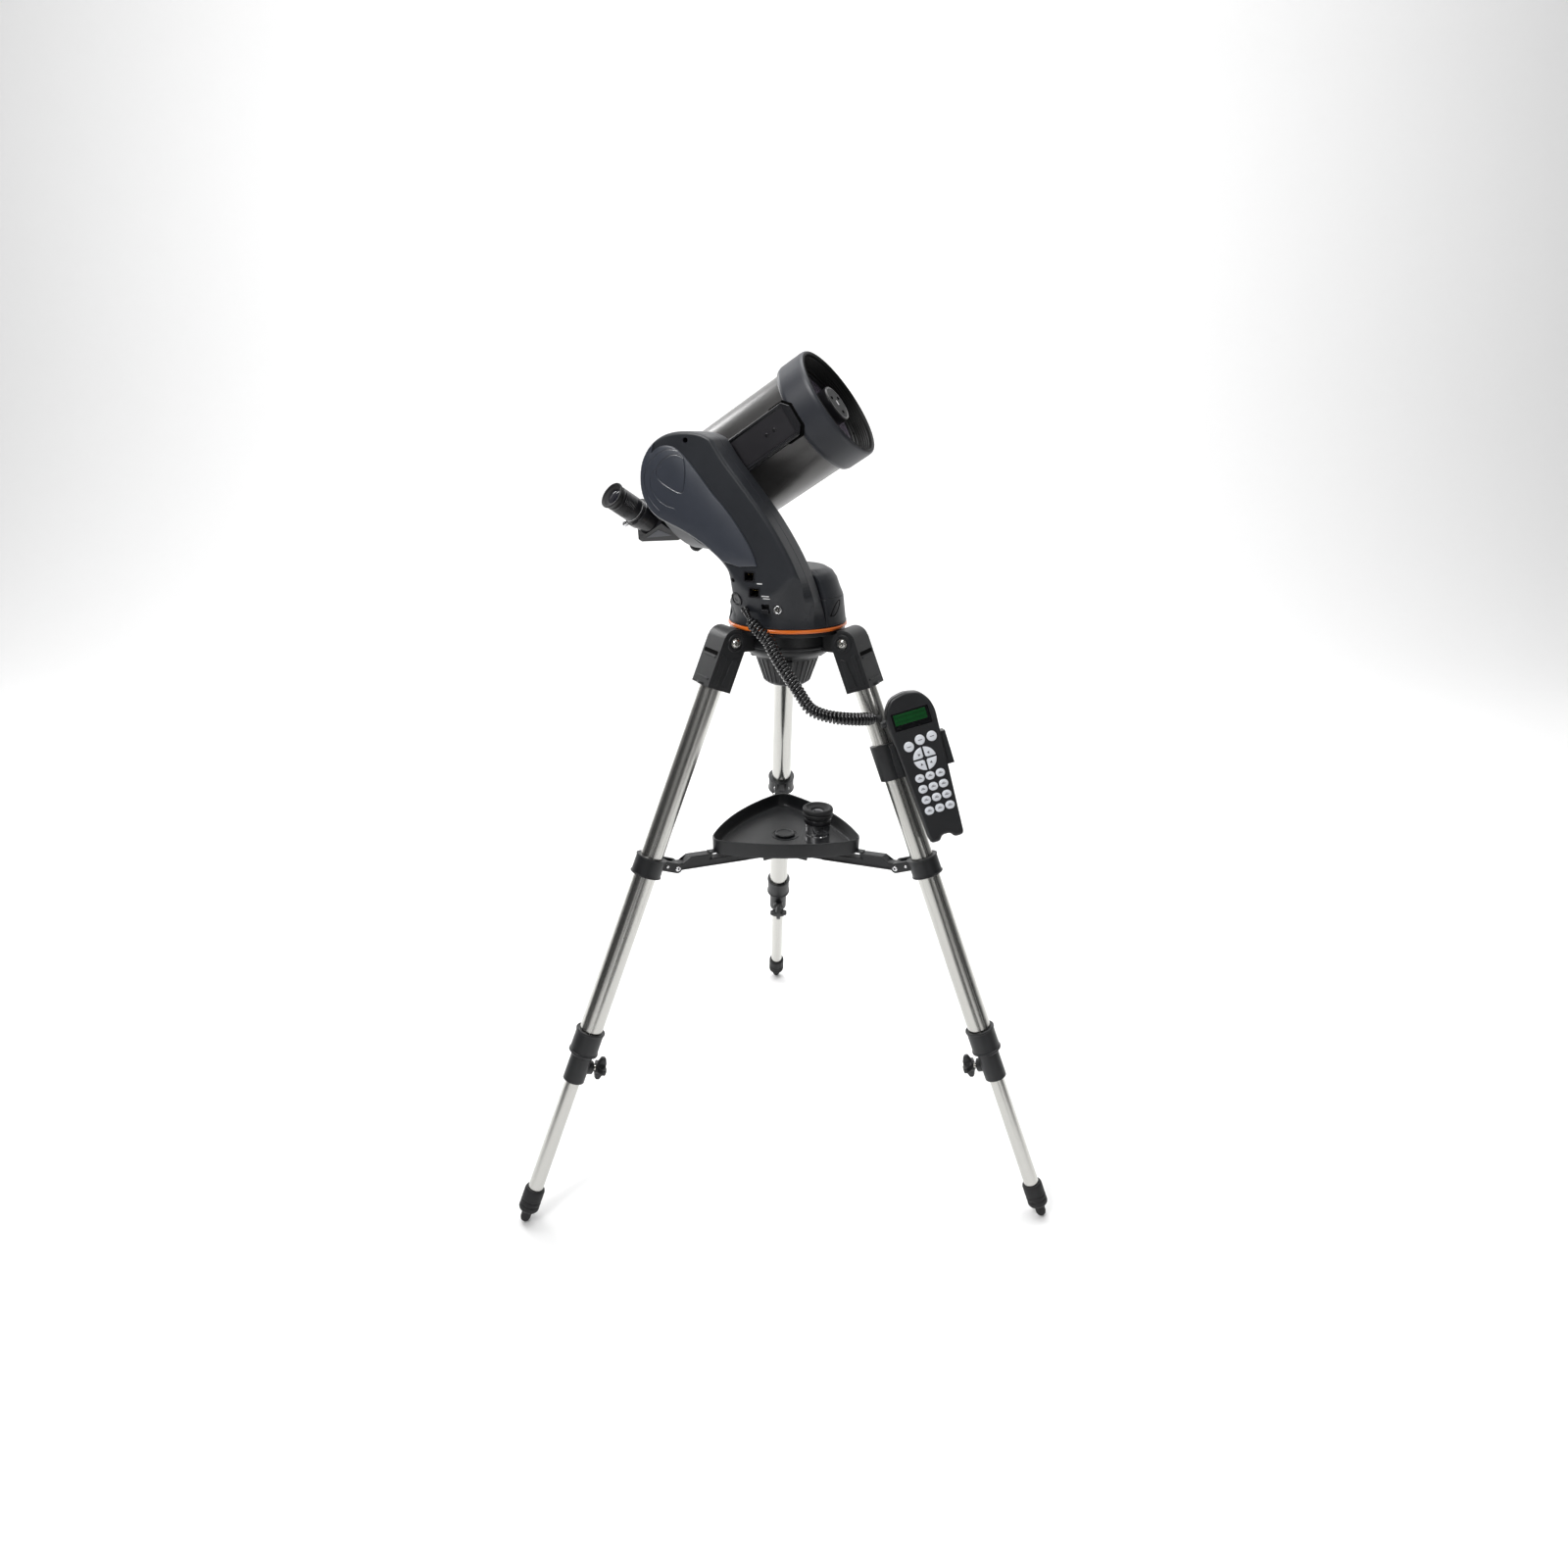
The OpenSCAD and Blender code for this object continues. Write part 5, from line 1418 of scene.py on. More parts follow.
def edge_distance(point, outline):
    best = 1e9
    spot = Vector(point)
    for a, b in zip(outline, outline[1:] + outline[:1]):
        start, run = Vector(a), Vector(b) - Vector(a)
        t = max(0.0, min(1.0, (spot - start).dot(run) / max(run.length_squared, 1e-9)))
        best = min(best, (start + run * t - spot).length)
    return best


def crown(point, outline):
    """How far the panel swells out at a point of its face"""
    share = min(1.0, edge_distance(point, outline) / CROWN_WIDTH)
    return CROWN_HEIGHT * share * (2 - share)


def make_arm():
    top = mount_frame()
    outline = arm_outline()
    middle = (ARM_OUT + ARM_IN) / 2
    outer = fitted_to_base(gridded(slab(outline, -ARM_OUT, -middle - 0.15, 5.0, 0.5, steps=5), 6, 4, 98))
    inner = fitted_to_base(gridded(slab(outline, -middle + 0.15, -ARM_IN, 0.5, 3.0, steps=4), 8, 5, 98))
    arm = piece_of("arm_outer_form", outer, top, shell_plastic(), 32)
    cutters = arm_cutters(top)
    cut_by(arm, cutters)
    mounted(weighted(arm), "mount", "shell", "arm_outer_shell")
    made("arm_inner_form", inner, top, shell_plastic(), "mount", "shell", "arm_inner_shell", crisp=32)
    make_trim_panel(top)
    make_arm_details(top)


def arm_cutters(top):
    """Solids for the sockets, the switch slot, the jack and the screw hole"""
    shell = shell_plastic()
    deep = -ARM_OUT - 6
    cutters = []
    for name, (x, z) in (("cut_upper", SOCKETS[0]), ("cut_lower", SOCKETS[1])):
        hole = eased(rectangle(x - SOCKET[0] / 2 - 0.1, z - SOCKET[1] / 2 - 0.1, x + SOCKET[0] / 2 + 0.1,
                               z + SOCKET[1] / 2 + 0.1), 1.2, True, 3)
        cutters.append(piece_of(name, slab(hole, deep, -ARM_OUT + 16, 0, 0), top, shell))
    cutters.append(piece_of("cut_switch", slab(rectangle(-2, 30, 8, 42), deep, -ARM_OUT + 12, 0, 0), top,
                            shell))
    jack = turned(shifted(top, 18, -ARM_OUT - 4, 36), -90, "X")
    cutters.append(piece_of("cut_jack", lathe([(0, 0), (5.6, 0), (5.6, 24), (0, 24)], 40), jack, shell))
    hole = turned(shifted(top, -104, -ARM_OUT - 2, 238), -90, "X")
    cutters.append(piece_of("cut_screw_hole", lathe([(0, 0), (3.4, 0), (3.4, 16), (0, 16)], 32), hole, shell))
    return cutters


def make_trim_panel(top):
    outline = panel_outline()
    plate = gridded(slab(outline, -ARM_OUT - 2.0, -ARM_OUT + 0.6, 1.2, 0.1, steps=3), 5, 5, 240)
    points = []
    for x, y, z in plate[0]:
        swell = crown((x, z), outline) if y < -ARM_OUT - 0.7 else 0.0
        points.append((x, y - swell, z))
    panel = piece_of("trim_panel_form", fitted_panel((points, plate[1])), top, trim_plastic(), 40)
    outer_groove = smooth_run([(-113, 225), (-128, 226), (-142, 219), (-154, 206), (-159, 190), (-156, 173),
                               (-148, 160), (-138, 151)], 6)
    tear = smooth_run([(-105, 216), (-118, 220), (-133, 212), (-141, 200), (-138, 189), (-123, 179),
                       (-106, 173.5),
                       (-102, 188), (-102, 204), (-105, 216)], 6)
    inner_groove = smooth_run([(-134, 205), (-146, 198), (-150, 184), (-143, 168), (-130, 158),
                               (-116, 154)], 6)
    cutters = []
    for name, run, width in (("groove_outer", outer_groove, 0.95), ("groove_tear", tear, 0.95),
                             ("groove_inner", inner_groove, 0.6)):
        path = [(p.x, -ARM_OUT - 2.0 - crown((p.x, p.y), outline), p.y) for p in run]
        closed = name == "groove_tear"
        shape = swept(path[:-1] if closed else path, width, 8, ends=not closed)
        cutters.append(piece_of(name, shape, top, trim_plastic()))
    cut_by(panel, cutters)
    mounted(weighted(panel), "mount", "trim", "arm_trim_panel")


def fitted_panel(shape):
    """Sinks the panel's foot onto the arm where the arm follows the base"""
    points = []
    for x, y, z in shape[0]:
        limit = arm_limit(z) + 2.2
        reach = math.hypot(x, y)
        share = min(1.0, limit / reach)
        points.append((x * share, y * share, z))
    return points, shape[1]


def make_arm_details(top):
    """Sockets, jack, switch, marks, plug recess and screw holes of the arm, with painted shade in the socket wells
    and the screw hole
    """
    body = "mount"
    shapes, wells = [], []
    for x, z in SOCKETS:
        rim = eased(rectangle(x - SOCKET[0] / 2, z - SOCKET[1] / 2, x + SOCKET[0] / 2, z + SOCKET[1] / 2),
                    1.2, True, 3)
        shapes.append(bezel(rim, inset(rim, 1.7), -ARM_OUT - 0.4, -ARM_OUT + 12.5))
        # The wells and the block in each are in the no-reflection black: the jacks' black plastic with painted
        # shade deep in the holes.
        wells.append(slab(inset(rim, 0.8), -ARM_OUT + 10.5, -ARM_OUT + 12, 0.1, 0.1))
        wells.append(block(x - 2.0, x + 2.0, -ARM_OUT + 1.5, -ARM_OUT + 10.6, z - 4.7, z - 3.0, 0.2))
    made("socket_bezels", joined(*shapes), top, satin_black(), body, "black", "socket_panel")
    made("socket_wells_black_and_shade", joined(*wells), top, deep_black(), body, "black")
    gold = grained("contact_gold", (0.70, 0.48, 0.16), gloss=0.25, metallic=1.0)
    for name, (x, z) in (("contacts_upper", SOCKETS[0]), ("contacts_lower", SOCKETS[1])):
        pin = block(-0.25, 0.25, -3.0, 3.0, -0.25, 0.25, 0.1)
        place = turned(shifted(top, x, -ARM_OUT + 6.5, z + 2.6), 90, "X")
        contacts = repeated(name, moved(pin, Matrix.Rotation(math.radians(-90), 4, "X")), place, gold,
                            grid_tree(),
                            {"Columns": 6, "Rows": 1, "Width": 6.0, "Height": 0.0})
        mounted(contacts, body, "gear_brass")
    jack = turned(shifted(top, 18, -ARM_OUT + 5.5, 36), 90, "X")
    ring = eased([(3.0, -12), (3.0, -0.8), (3.6, 0), (4.9, 0), (5.5, -0.8), (5.5, -12)], 0.4, True, 2)
    made("jack_ring", lathe(ring, 48, closed=True), jack, chrome(), body, "chrome")
    pin = lathe(eased([(0, -13), (1.0, -13), (1.0, -1.6), (0.6, -1.0), (0, -0.9)], 0.2, steps=2), 20)
    floor = lathe([(0, -13), (3.1, -13), (3.1, -11.6), (0, -11.6)], 32)
    made("jack_pin", joined(pin, floor), jack, bolt_steel(), body, "chrome")
    rounded_copy("power_switch", satin_black(), edge=0.5)
    marks = []
    for x0, x1, z, height in PRINTED_LINES:
        dash = eased(rectangle(x0, z, x1, z + height), 0.4, True, 2)
        marks.append(slab(dash, -ARM_OUT - 0.35, -ARM_OUT + 0.5, 0.1, 0.1))
    marks.append(moved(slab(stadium(3.2, 1.4), -0.4, 0.4, 0.1, 0.1), Matrix.Translation((3, -78.6, 44.5))))
    made("printed_marks", fitted_marks(joined(*marks)), top,
         grained("print_white", (0.72, 0.72, 0.72), gloss=0.5), body, "trim")
    well = on_drum(top, PLUG_PLACE)
    ring = eased([(7.2, -3), (9.2, -3), (9.2, 0.8), (8.8, 1.3), (7.8, 1.3), (7.2, 0.6)], 0.4, True, 2)
    disc = eased([(0, -3), (7.0, -3), (7.0, -0.2), (6.4, 0.3), (2.4, 0.3), (2.2, -0.2), (0, -0.2)], 0.3,
                 steps=2)
    made("side_plug", joined(lathe(ring, 56, closed=True), lathe(disc, 56)), well, satin_black(), body,
         "shell")
    # The side screw hole is a short disc in the no-reflection black: painted shade in the hole.
    hole = on_drum(top, HOLE_PLACE)
    made("side_screw_hole_shade", lathe(eased([(0, -2), (2.6, -2), (2.6, 0.5), (0, 0.5)], 0.2, steps=2), 28), hole,
         deep_black(), body, "shell")
    cover = turned(shifted(top, -HEAD_BACK, -ARM_IN + 0.4, HEAD_HEIGHT), -90, "X")
    made("head_inner_ring", lathe(eased([(38, -1), (48, -1), (48, 0.2), (46, 0.6), (40, 0.6), (38, 0.2)],
                                        0.4, True, 2),
                                  96, closed=True), cover, plastic(), body, "shell")


def on_drum(top, place):
    """Frame on the arm's flared foot at a heading and height, with +Z pointing outwards"""
    heading, height = place
    spot = shifted(turned(shifted(top, 0, 0, height), heading, "Z"), arm_limit(height), 0, 0)
    return turned(spot, 109, "Y")


def fitted_marks(shape):
    """Lays printed marks on the arm where its foot follows the base"""
    points = []
    for x, y, z in shape[0]:
        limit = arm_limit(z) + 0.35
        reach = math.hypot(x, y)
        share = min(1.0, limit / reach)
        points.append((x * share, y * share, z))
    return points, shape[1]


def bezel(outline, hole, y0, y1):
    """A frame between two outlines with the same number of points"""
    count = len(outline)
    points = [(x, y0, z) for x, z in outline] + [(x, y0, z) for x, z in hole]
    points += [(x, y1, z) for x, z in outline] + [(x, y1, z) for x, z in hole]
    faces = []
    for i in range(count):
        j = (i + 1) % count
        faces.append([i, j, count + j, count + i])
        faces.append([2 * count + i, 3 * count + i, 3 * count + j, 2 * count + j])
        faces.append([i, 2 * count + i, 2 * count + j, j])
        faces.append([count + i, count + j, 3 * count + j, 3 * count + i])
    return points, faces


def make_works():
    """Drives, board and hidden optics inside the shells"""
    rounded_copy("drive_gearboxes", grained("cast_grey", (0.16, 0.16, 0.17), gloss=0.45, metallic=0.6),
                 edge=0.8)
    rounded_copy("control_board", grained("board_green", (0.01, 0.09, 0.03), gloss=0.35), edge=0.1)
    top = mount_frame()
    chip = block(-3.0, 3.0, -0.9, 0.9, -2.0, 2.0, 0.2)
    place = turned(shifted(top, -5, -67.0, 76), 90, "X")
    chips = repeated("board_chips", moved(chip, Matrix.Rotation(math.radians(-90), 4, "X")), place,
                     satin_black(),
                     grid_tree(), {"Columns": 4, "Rows": 4, "Width": 34.0, "Height": 26.0})
    mounted(chips, "mount", "board")
    rounded_copy("altitude_hub", plastic(), edge=0.9)
    mirror = grained("mirror_silver", (0.9, 0.9, 0.91), gloss=0.03, grain=30, mottle=0.01, unevenness=0.01,
                     depth=0.0,
                     metallic=1.0)
    rounded_copy("primary_mirror", mirror, edge=0.3)
    rounded_copy("baffle_tube", deep_black(), edge=0.2)


# ---------- optical tube ----------

def make_optical_tube():
    place = tube_frame()
    across = along_x(place)
    tube = [(TUBE_RADIUS, -73.8), (TUBE_RADIUS, 145), (71, 145), (71, -73.8)]
    piece = piece_of("optical_tube_form", lathe(tube, 160, closed=True), across, tube_paint(), 40)
    mounted(weighted(piece), "optics", "tube_metal", "optical_tube")
    seam = block(-66, 136, -0.35, 0.35, TUBE_RADIUS - 0.3, TUBE_RADIUS + 0.15, 0.1)
    made("tube_seam", seam, turned(place, 180, "X"), tube_paint(), "optics", "tube_metal")
    make_front_ring(across)
    make_corrector(across)
    make_dovetail(place)
    make_rear_cell(place, across)


def make_front_ring(across):
    outer = eased([(72.6, 137), (75.2, 137), (77.6, 139.2), (79, 143.5), (79, 174), (78.6, 177.6),
                   (77.2, 179.7),
                   (75.8, 180), (74.9, 179.2), (74.7, 170), (74.7, 146), (72.6, 146)], 1.0, True, 4)
    made("front_ring_form", lathe(outer, 192, closed=True), across, ring_paint(), "optics", "ring_paint",
         "front_ring")
    liner = [(74.6, 147), (74.6, 178.8), (75.6, 180.3), (74.4, 180.5), (73.4, 179.6), (72.9, 178.4)]
    for k in range(6):
        depth = 176 - 3 * k
        liner += [(72.7 - 0.25 * k, depth), (73.1 - 0.25 * k, depth - 1.4)]
    liner += [(71.0, 157.8), (70.2, 157.2), (69.4, 158.0), (65.2, 157.6), (64.2, 156.8), (63.5, 155.4),
              (63.5, 154.1),
              (66.5, 154.1), (66.5, 148.9), (63.5, 148.9), (63.5, 147)]
    made("front_liner", lathe(liner, 192, closed=True), across, gloss_black(), "optics", "ring_paint",
         crisp=30)
    head = moved(bolt_head(1.9, 1.3), Matrix.Translation((0, 0, 157.7)))
    round_axis("retainer_screws", head, across, gloss_black(), "optics", "black", 6, 67.3)
    # The notch where the bar meets the front ring is a slab in the no-reflection black: painted shade in the gap.
    notch_shade = slab(eased([(118, -25.6), (139.5, -25.6), (148, -15.5), (148, 15.5), (139.5, 25.6), (118, 25.6)],
                     1.5, True,
                     3), -79.5, -74.5, 0.4, 0.2)
    made("ring_notch_shade", notch_shade, tube_frame(), deep_black(), "optics", "black")
    nose = slab(eased([(135, -23.5), (137, -23.5), (145, -14), (145, 14), (137, 23.5), (135, 23.5)], 0.8,
                      True, 3),
                -BAR_FACE, -76.2, 0.6, 0.3)
    made("bar_nose", nose, tube_frame(), satin_black(), "optics", "black")


def make_corrector(across):
    glass = eased([(19.1, PLATE_X), (66.4, PLATE_X), (66.4, PLATE_X + 5), (19.1, PLATE_X + 5)], 0.3, True, 2)
    made("corrector_form", lathe(glass, 160, closed=True), across,
         glassy("coated_plate", (0.115, 0.100, 0.130), 0.12), "optics", "glass", "corrector_plate")
    cell = eased([(0, 141), (22.6, 141), (23, 142), (23, 148.9), (19, 149), (19, 154), (24.2, 154.1),
                  (25, 155),
                  (25, 175.6), (24.2, CELL_FRONT), (22.2, CELL_FRONT), (21.8, 176.2), (0, 176.2)], 0.4,
                  steps=3)
    made("secondary_cell_form", lathe(cell, 96), across, satin_black(), "optics", "black", "secondary_cell")
    face = lathe([(0, 176.0), (21.4, 176.0), (21.4, 176.6), (20.8, 176.9), (0, 176.9)], 72)
    made("secondary_face", face, across, grained("cell_grey", (0.022, 0.023, 0.024), gloss=0.62,
                                               specular=0.25), "optics", "black")
    # The three screw heads are in the no-reflection black: black screws with painted shade round them.
    head = moved(bolt_head(2.3, 1.2), Matrix.Translation((0, 0, 176.8)))
    round_axis("secondary_screws", head, across, deep_black(), "optics", "black", 3, 14.0)
    tag = plate_z(eased(rectangle(-3.3, -2.0, 3.3, 2.0), 0.8, True, 3), 176.8, 177.2, 0.1)
    made("secondary_tag", tag, across, grained("tag_silver", (0.55, 0.55, 0.56), gloss=0.3, metallic=0.6),
         "optics", "chrome")


def make_dovetail(place):
    """Bar with raised rails along both edges of its recessed face"""
    low, high, back, front = -23.5, 23.5, -66.0, 136.6
    face, floor, seat = -BAR_FACE, -BAR_FACE + 1.8, -70.6
    section = [(seat, low), (face + 1.2, low), (face, low + 1.2), (face, low + 3.2), (floor, low + 4.4),
               (floor, high - 4.4), (face, high - 3.2), (face, high - 1.2), (face + 1.2, high), (seat, high)]
    count = len(section)
    points = [(x, y, z) for x in (back, front) for y, z in section]
    faces = [list(range(count)), list(reversed(range(count, 2 * count)))]
    faces += [[i, count + i, count + (i + 1) % count, (i + 1) % count] for i in range(count)]
    bar = piece_of("dovetail_bar_form", (points, faces), place, satin_black(), 30)
    soften = bar.modifiers.new("edge", "BEVEL")
    soften.width = 0.35 * MM
    soften.segments = 2
    settled(bar)
    mounted(weighted(bar), "optics", "black", "dovetail_bar")
    insert = slab(eased(rectangle(back + 8, low + 5.4, front - 1, high - 5.4), 1.5, True, 3), floor - 0.5,
                  floor + 1,
                  0.3, 0.1)
    made("bar_insert", insert, place, grained("bar_insert_black", (0.013, 0.012, 0.015), gloss=0.38),
         "optics", "black")
    for name, x in (("bar_screw_front", 112), ("bar_screw_back", 100)):
        spot = turned(shifted(place, x, floor - 0.5, 0), 90, "X")
        made(name, bolt_head(2.6, 1.2), spot, satin_black(), "optics", "black")


def make_rear_cell(place, across):
    rounded_copy("rear_cell", ring_paint(), edge=1.2, segments=3, limit=30)
    head = moved(bolt_head(2.4, 1.6), Matrix.Rotation(math.radians(180), 4, "X"))
    rear = shifted(across, 0, 0, -TUBE_BACK)
    round_axis("rear_screws", head, rear, bolt_steel(), "optics", "black", 6, 49.0)
    knob_place = along_x(shifted(place, -TUBE_BACK, 22, -46))
    knob = eased([(0, -23.6), (4.4, -23.2), (7.6, -21.2), (9.0, -17.6), (9.2, -4), (8.4, -1.2), (4, -0.8),
                  (3, -0.6),
                  (3, 19), (0, 19)], 1.0, steps=4)
    made("focus_knob_form", lathe(knob, 64), knob_place, soft_rubber(), "focus_knob", "rubber", "focus_knob")
    rib = block(8.9, 9.75, -0.4, 0.4, -18.4, -3.2, 0.25)
    round_axis("focus_knob_ribs", rib, knob_place, soft_rubber(), "focus_knob", "rubber", sizes().ribs)
    back = turned(shifted(place, -TUBE_BACK - 0.3, 0, 0), -90, "Y")
    profile = eased([(16, 0), (26.6, 0), (27, 0.6), (27, 9.4), (26.2, 10.2), (21.4, 10.8), (21, 11.6),
                     (21, 18), (20, 19),
                     (16, 19)], 0.5, True, 3)
    made("visual_back_form", lathe(profile, 96, closed=True), back, satin_black(), "optics", "black",
         "visual_back")
    rib = block(26.6, 27.5, -0.55, 0.55, 1.6, 8.6, 0.25)
    round_axis("visual_back_knurl", rib, back, satin_black(), "optics", "black", 48)
    thumb_screw("back_screw", shifted(place, -TUBE_BACK - 15.3, 0, 0), "back_screw", "back_screw")
    saddle = shifted(place, 0, -79.9, -31.5)
    knob = eased([(0, -19.4), (6.4, -19.2), (8.6, -18), (9, -16), (9, -8.4), (8, -7), (2.6, -6.8),
                  (2.5, 7.5), (0, 7.5)],
                 0.8, steps=3)
    made("saddle_knob_form", lathe(knob, 48), saddle, satin_black(), "saddle_knob", "black", "saddle_knob")
    rib = block(8.7, 9.6, -0.6, 0.6, -16.4, -8.6, 0.25)
    round_axis("saddle_knob_ribs", rib, saddle, satin_black(), "saddle_knob", "black", 18)


# ---------- hand controller ----------

CASE_HALF = [(0, -85), (5, -85), (9, -91), (21, -91), (31, 61), (27.5, 75), (18, 87), (0, 91)]
WINDOW = (-23.5, 47.0, 23.5, 69.0)
KEY_TOP = -13.0
KEY_X = 1.5
KEY_PITCH = (12.8, 13.2)
KEY_SIZE = (11.4, 9.6)
ROUND_KEYS = ((-13.0, 26.5), (2.0, 31.0), (17.0, 31.5))
ARROW_CENTRE = 8.3


def case_outline():
    right = CASE_HALF
    left = [(-x, z) for x, z in reversed(right) if x > 0]
    return eased(right[1:] + left, 6, closed=True, steps=4)


def make_handset():
    place = handset_frame()
    body = "leg_right"
    outline = case_outline()
    front = -HANDSET_THICKNESS / 2
    case = grained("handset_black", (0.013, 0.0135, 0.015), gloss=0.38, grain=1200, depth=0.18)
    upper = piece_of("handset_front", slab(outline, front, 3.0, 3.6, 0.3, steps=5), place, case, 32)
    window = piece_of("cut_window", slab(eased(rectangle(*WINDOW), 1.5, True, 3), front - 2, front + 2.0, 0,
                                         0), place,
                      case)
    cut_by(upper, [window])
    mounted(weighted(upper), body, "handset", "handset_case")
    lower = slab(outline, 3.3, -front, 0.3, 3.0, steps=4)
    made("handset_back", lower, place, case, body, "handset")
    gland = turned(shifted(place, -30.0, 0, 60), -90, "Y")
    made("handset_gland", lathe(eased([(0, 0), (5.4, 0), (5.2, 5), (4.6, 7), (0, 7)], 0.6, steps=2), 36),
         gland, case,
         body, "handset")
    make_display(place, body, front)
    make_keys(place, front)


def make_display(place, body, front):
    x0, z0, x1, z1 = WINDOW
    glass = slab(eased(rectangle(x0 + 0.2, z0 + 0.2, x1 - 0.2, z1 - 0.2), 1.3, True, 3), front + 0.5,
                 front + 2.2,
                 0.2, 0.1)
    window = grained("window_black", (0.003, 0.003, 0.004), gloss=0.1, grain=200, unevenness=0.03,
                     depth=0.0, coat=0.7,
                     coat_gloss=0.04)
    made("display_window", glass, place, window, body, "display", "handset_display")
    panel = slab(eased(rectangle(-21.0, 54.0, 19.0, 67.0), 0.6, True, 2), front + 0.35, front + 0.7, 0.1, 0.1)
    green = grained("display_green", (0.004, 0.055, 0.012), gloss=0.14, grain=3000, mottle=0.3, depth=0.0,
                    coat=0.6,
                    coat_gloss=0.06)
    made("display_panel", panel, place, green, body, "display")
    bar = slab(rectangle(-0.9, -1.3, 0.9, 1.3), -0.06, 0.06, 0.02, 0.02)
    cells = repeated("display_cells", moved(bar, Matrix.Rotation(math.radians(-90), 4, "X")),
                     turned(shifted(place, -1.0, front + 0.34, 60.5), 90, "X"),
                     grained("display_cell_green", (0.003, 0.040, 0.009), gloss=0.2, depth=0.0), grid_tree(),
                     {"Columns": 16, "Rows": 2, "Width": 36.0, "Height": 5.4})
    mounted(cells, body, "display")


def pillow(outline, low, high, edge=1.2, dome=0.5):
    """A key cap with a rounded edge and a slightly domed face"""
    levels = []
    for k in range(5):
        turn = math.pi / 2 * k / 4
        levels.append((low + (high - low - edge) + edge * math.sin(turn), edge * (1 - math.cos(turn))))
    outline = list(outline) if area(outline) > 0 else list(reversed(outline))
    count = len(outline)
    points = [(x, -low, z) for x, z in outline]
    for height, into in levels:
        points += [(x, -height, z) for x, z in inset(outline, into)]
    middle = inset(outline, edge)
    cx = sum(p[0] for p in middle) / count
    cz = sum(p[1] for p in middle) / count
    for share in (0.7, 0.4):
        lift = dome * (1 - share ** 2)
        points += [(cx + (x - cx) * share, -high - lift, cz + (z - cz) * share) for x, z in middle]
    points.append((cx, -high - dome, cz))
    rings = len(levels) + 3
    faces = [list(range(count))]
    for k in range(rings - 1):
        for i in range(count):
            j = (i + 1) % count
            faces.append([k * count + i, k * count + j, (k + 1) * count + j, (k + 1) * count + i])
    last = (rings - 1) * count
    faces += [[last + i, last + (i + 1) % count, len(points) - 1] for i in range(count)]
    return points, faces


def make_keys(place, front):
    """Oval keys on a grid, three round keys above and four arrow keys between"""
    white = grained("key_white", colours().keys, gloss=0.48, grain=1400, mottle=0.04, depth=0.08, coat=0.1)
    ink = grained("key_ink", (0.10, 0.10, 0.11), gloss=0.5)
    key = moved(pillow(stadium(*KEY_SIZE), -1.0, 1.7, 1.3, 0.4), Matrix.Rotation(math.radians(-90), 4, "X"))
    middle = KEY_TOP - 1.5 * KEY_PITCH[1]
    grid_place = turned(shifted(place, KEY_X, front, middle), 90, "X")
    grid = {"Columns": 3, "Rows": 4, "Width": 2 * KEY_PITCH[0], "Height": 3 * KEY_PITCH[1]}
    keys = repeated("number_keys", key, grid_place, white, grid_tree(), grid, crisp=50)
    mounted(keys, "keypad", "keys", "keypad")
    caps = [moved(pillow(arc((0, 0), 6.2, 0, 345, 23), -1.0, 1.7, 1.3, 0.4),
                  Matrix.Translation((x, front, z)))
            for x, z in ROUND_KEYS]
    made("round_keys", joined(*caps), place, white, "keypad", "keys", crisp=50)
    line = slab(eased(rectangle(-2.6, -0.45, 2.6, 0.45), 0.3, True, 2), -2.2, -1.9, 0.05, 0.05)
    dot = slab(eased(rectangle(-1.4, 1.1, 1.4, 1.8), 0.3, True, 2), -2.18, -1.9, 0.05, 0.05)
    mark = moved(joined(line, dot), Matrix.Rotation(math.radians(-90), 4, "X"))
    marks = repeated("key_marks", mark, grid_place, ink, grid_tree(), grid)
    mounted(marks, "keypad", "keys")
    tops = [moved(line, Matrix.Translation((x, front, z))) for x, z in ROUND_KEYS]
    made("round_key_marks", joined(*tops), place, ink, "keypad", "keys")
    quarter = arc((0, 0), 14.0, 4.3, 85.7, 12) + arc((0, 0), 2.9, 66, 24, 3)
    quads, heads = [], []
    for k in range(4):
        turn = Matrix.Rotation(math.radians(90 * k), 4, "Y")
        lift = Matrix.Translation((KEY_X, front, ARROW_CENTRE))
        quads.append(moved(pillow(quarter, -1.0, 1.7, 1.1, 0.4), lift @ turn))
        spot = Matrix.Rotation(math.radians(90 * k + 45), 4, "Y")
        heads.append(moved(slab([(-1.7, 7.4), (1.7, 7.4), (0, 10.4)], -2.35, -1.9, 0.05, 0.05), lift @ spot))
    made("arrow_keys", joined(*quads), place, white, "arrow_pad", "keys", "arrow_pad", crisp=50)
    made("arrow_marks", joined(*heads), place, ink, "arrow_pad", "keys")


# ---------- operators ----------

class TELESCOPE_OT_camera(bpy.types.Operator):
    """Add the camera"""
    bl_idname = "telescope.camera"
    bl_label = "Camera"

    def execute(self, context):
        make_camera()
        return {"FINISHED"}


class TELESCOPE_OT_stage(bpy.types.Operator):
    """Add the paper sweep, the world and the soft lights"""
    bl_idname = "telescope.stage"
    bl_label = "Stage"

    def execute(self, context):
        make_stage()
        return {"FINISHED"}


class TELESCOPE_OT_cord(bpy.types.Operator):
    """Add the curly cord with its plug and strain relief"""
    bl_idname = "telescope.cord"
    bl_label = "Cord"

    def execute(self, context):
        make_cord()
        return {"FINISHED"}


class TELESCOPE_OT_tripod_head(bpy.types.Operator):
    """Add the tripod head with its bolts"""
    bl_idname = "telescope.tripod_head"
    bl_label = "Tripod Head"

    def execute(self, context):
        make_tripod_head()
        make_head_bolts()
        return {"FINISHED"}


class TELESCOPE_OT_legs(bpy.types.Operator):
    """Add the three legs with their fittings, knobs and feet"""
    bl_idname = "telescope.legs"
    bl_label = "Legs"

    def execute(self, context):
        for side in SIDES:
            make_leg(side)
        return {"FINISHED"}


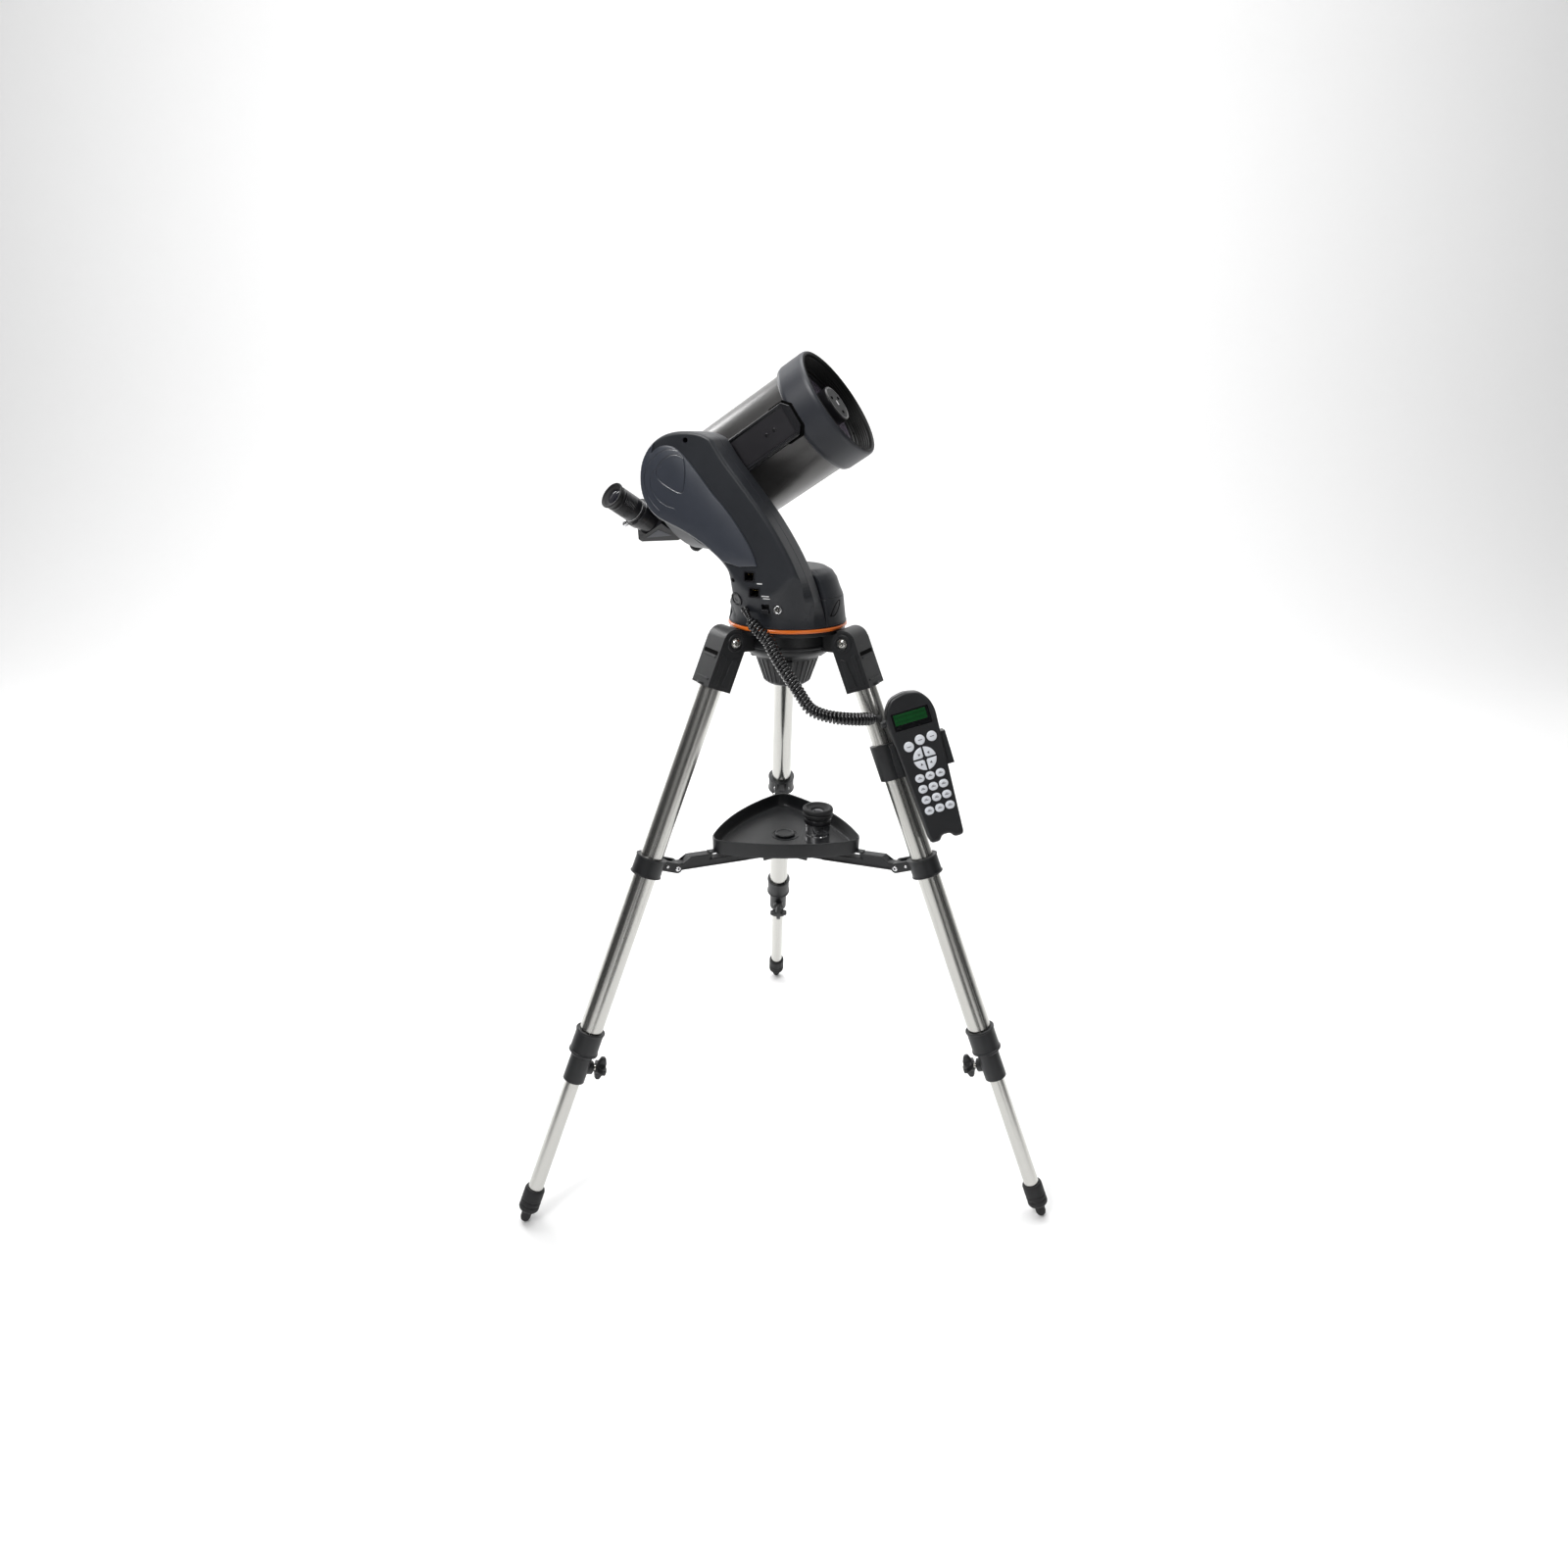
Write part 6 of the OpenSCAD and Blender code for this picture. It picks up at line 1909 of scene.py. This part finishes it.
class TELESCOPE_OT_spreader(bpy.types.Operator):
    """Add the spreader arms, the hub and the tray"""
    bl_idname = "telescope.spreader"
    bl_label = "Spreader and Tray"

    def execute(self, context):
        make_spreader()
        make_tray()
        make_tray_eyepiece()
        return {"FINISHED"}


class TELESCOPE_OT_base(bpy.types.Operator):
    """Add the azimuth base, its trim ring and shells"""
    bl_idname = "telescope.base"
    bl_label = "Base"

    def execute(self, context):
        make_base()
        return {"FINISHED"}


class TELESCOPE_OT_arm(bpy.types.Operator):
    """Add the fork arm with its panel and sockets"""
    bl_idname = "telescope.arm"
    bl_label = "Arm"

    def execute(self, context):
        make_arm()
        return {"FINISHED"}


class TELESCOPE_OT_works(bpy.types.Operator):
    """Add the drives, the board and the hidden optics"""
    bl_idname = "telescope.works"
    bl_label = "Inner Works"

    def execute(self, context):
        make_works()
        return {"FINISHED"}


class TELESCOPE_OT_optical_tube(bpy.types.Operator):
    """Add the optical tube with its front and rear fittings"""
    bl_idname = "telescope.optical_tube"
    bl_label = "Optical Tube"

    def execute(self, context):
        make_optical_tube()
        return {"FINISHED"}


class TELESCOPE_OT_eyepiece(bpy.types.Operator):
    """Add the star diagonal and the eyepiece"""
    bl_idname = "telescope.eyepiece"
    bl_label = "Diagonal and Eyepiece"

    def execute(self, context):
        make_diagonal()
        make_eyepiece()
        return {"FINISHED"}


class TELESCOPE_OT_handset(bpy.types.Operator):
    """Add the hand controller and its holder"""
    bl_idname = "telescope.handset"
    bl_label = "Hand Controller"

    def execute(self, context):
        make_handset()
        rounded_copy("handset_holder", plastic(), edge=1.0)
        return {"FINISHED"}


OPERATORS = (
    TELESCOPE_OT_camera, TELESCOPE_OT_cord, TELESCOPE_OT_stage, TELESCOPE_OT_tripod_head, TELESCOPE_OT_legs,
    TELESCOPE_OT_spreader, TELESCOPE_OT_base, TELESCOPE_OT_arm, TELESCOPE_OT_works, TELESCOPE_OT_optical_tube,
    TELESCOPE_OT_eyepiece, TELESCOPE_OT_handset,
)


class TELESCOPE_PT_panel(bpy.types.Panel):
    """Lists the telescope's sizes, colours and pieces"""
    bl_idname = "TELESCOPE_PT_panel"
    bl_label = "Telescope"
    bl_space_type = "VIEW_3D"
    bl_region_type = "UI"
    bl_category = "Telescope"

    def draw(self, context):
        layout = self.layout
        for settings in (context.scene.telescope_sizes, context.scene.telescope_finish):
            for name in settings.__annotations__:
                layout.prop(settings, name)
        for operator in OPERATORS:
            layout.operator(operator.bl_idname)


CLASSES = (TelescopeFinish, TelescopeSizes, *OPERATORS, TELESCOPE_PT_panel)


def register():
    for each in CLASSES:
        bpy.utils.register_class(each)
    bpy.types.Scene.telescope_finish = bpy.props.PointerProperty(type=TelescopeFinish)
    bpy.types.Scene.telescope_sizes = bpy.props.PointerProperty(type=TelescopeSizes)


def unregister():
    del bpy.types.Scene.telescope_sizes
    del bpy.types.Scene.telescope_finish
    for each in reversed(CLASSES):
        bpy.utils.unregister_class(each)


def main():
    register()
    for operator in OPERATORS:
        group, name = operator.bl_idname.split(".")
        getattr(getattr(bpy.ops, group), name)()


if __name__ == "__main__":
    main()
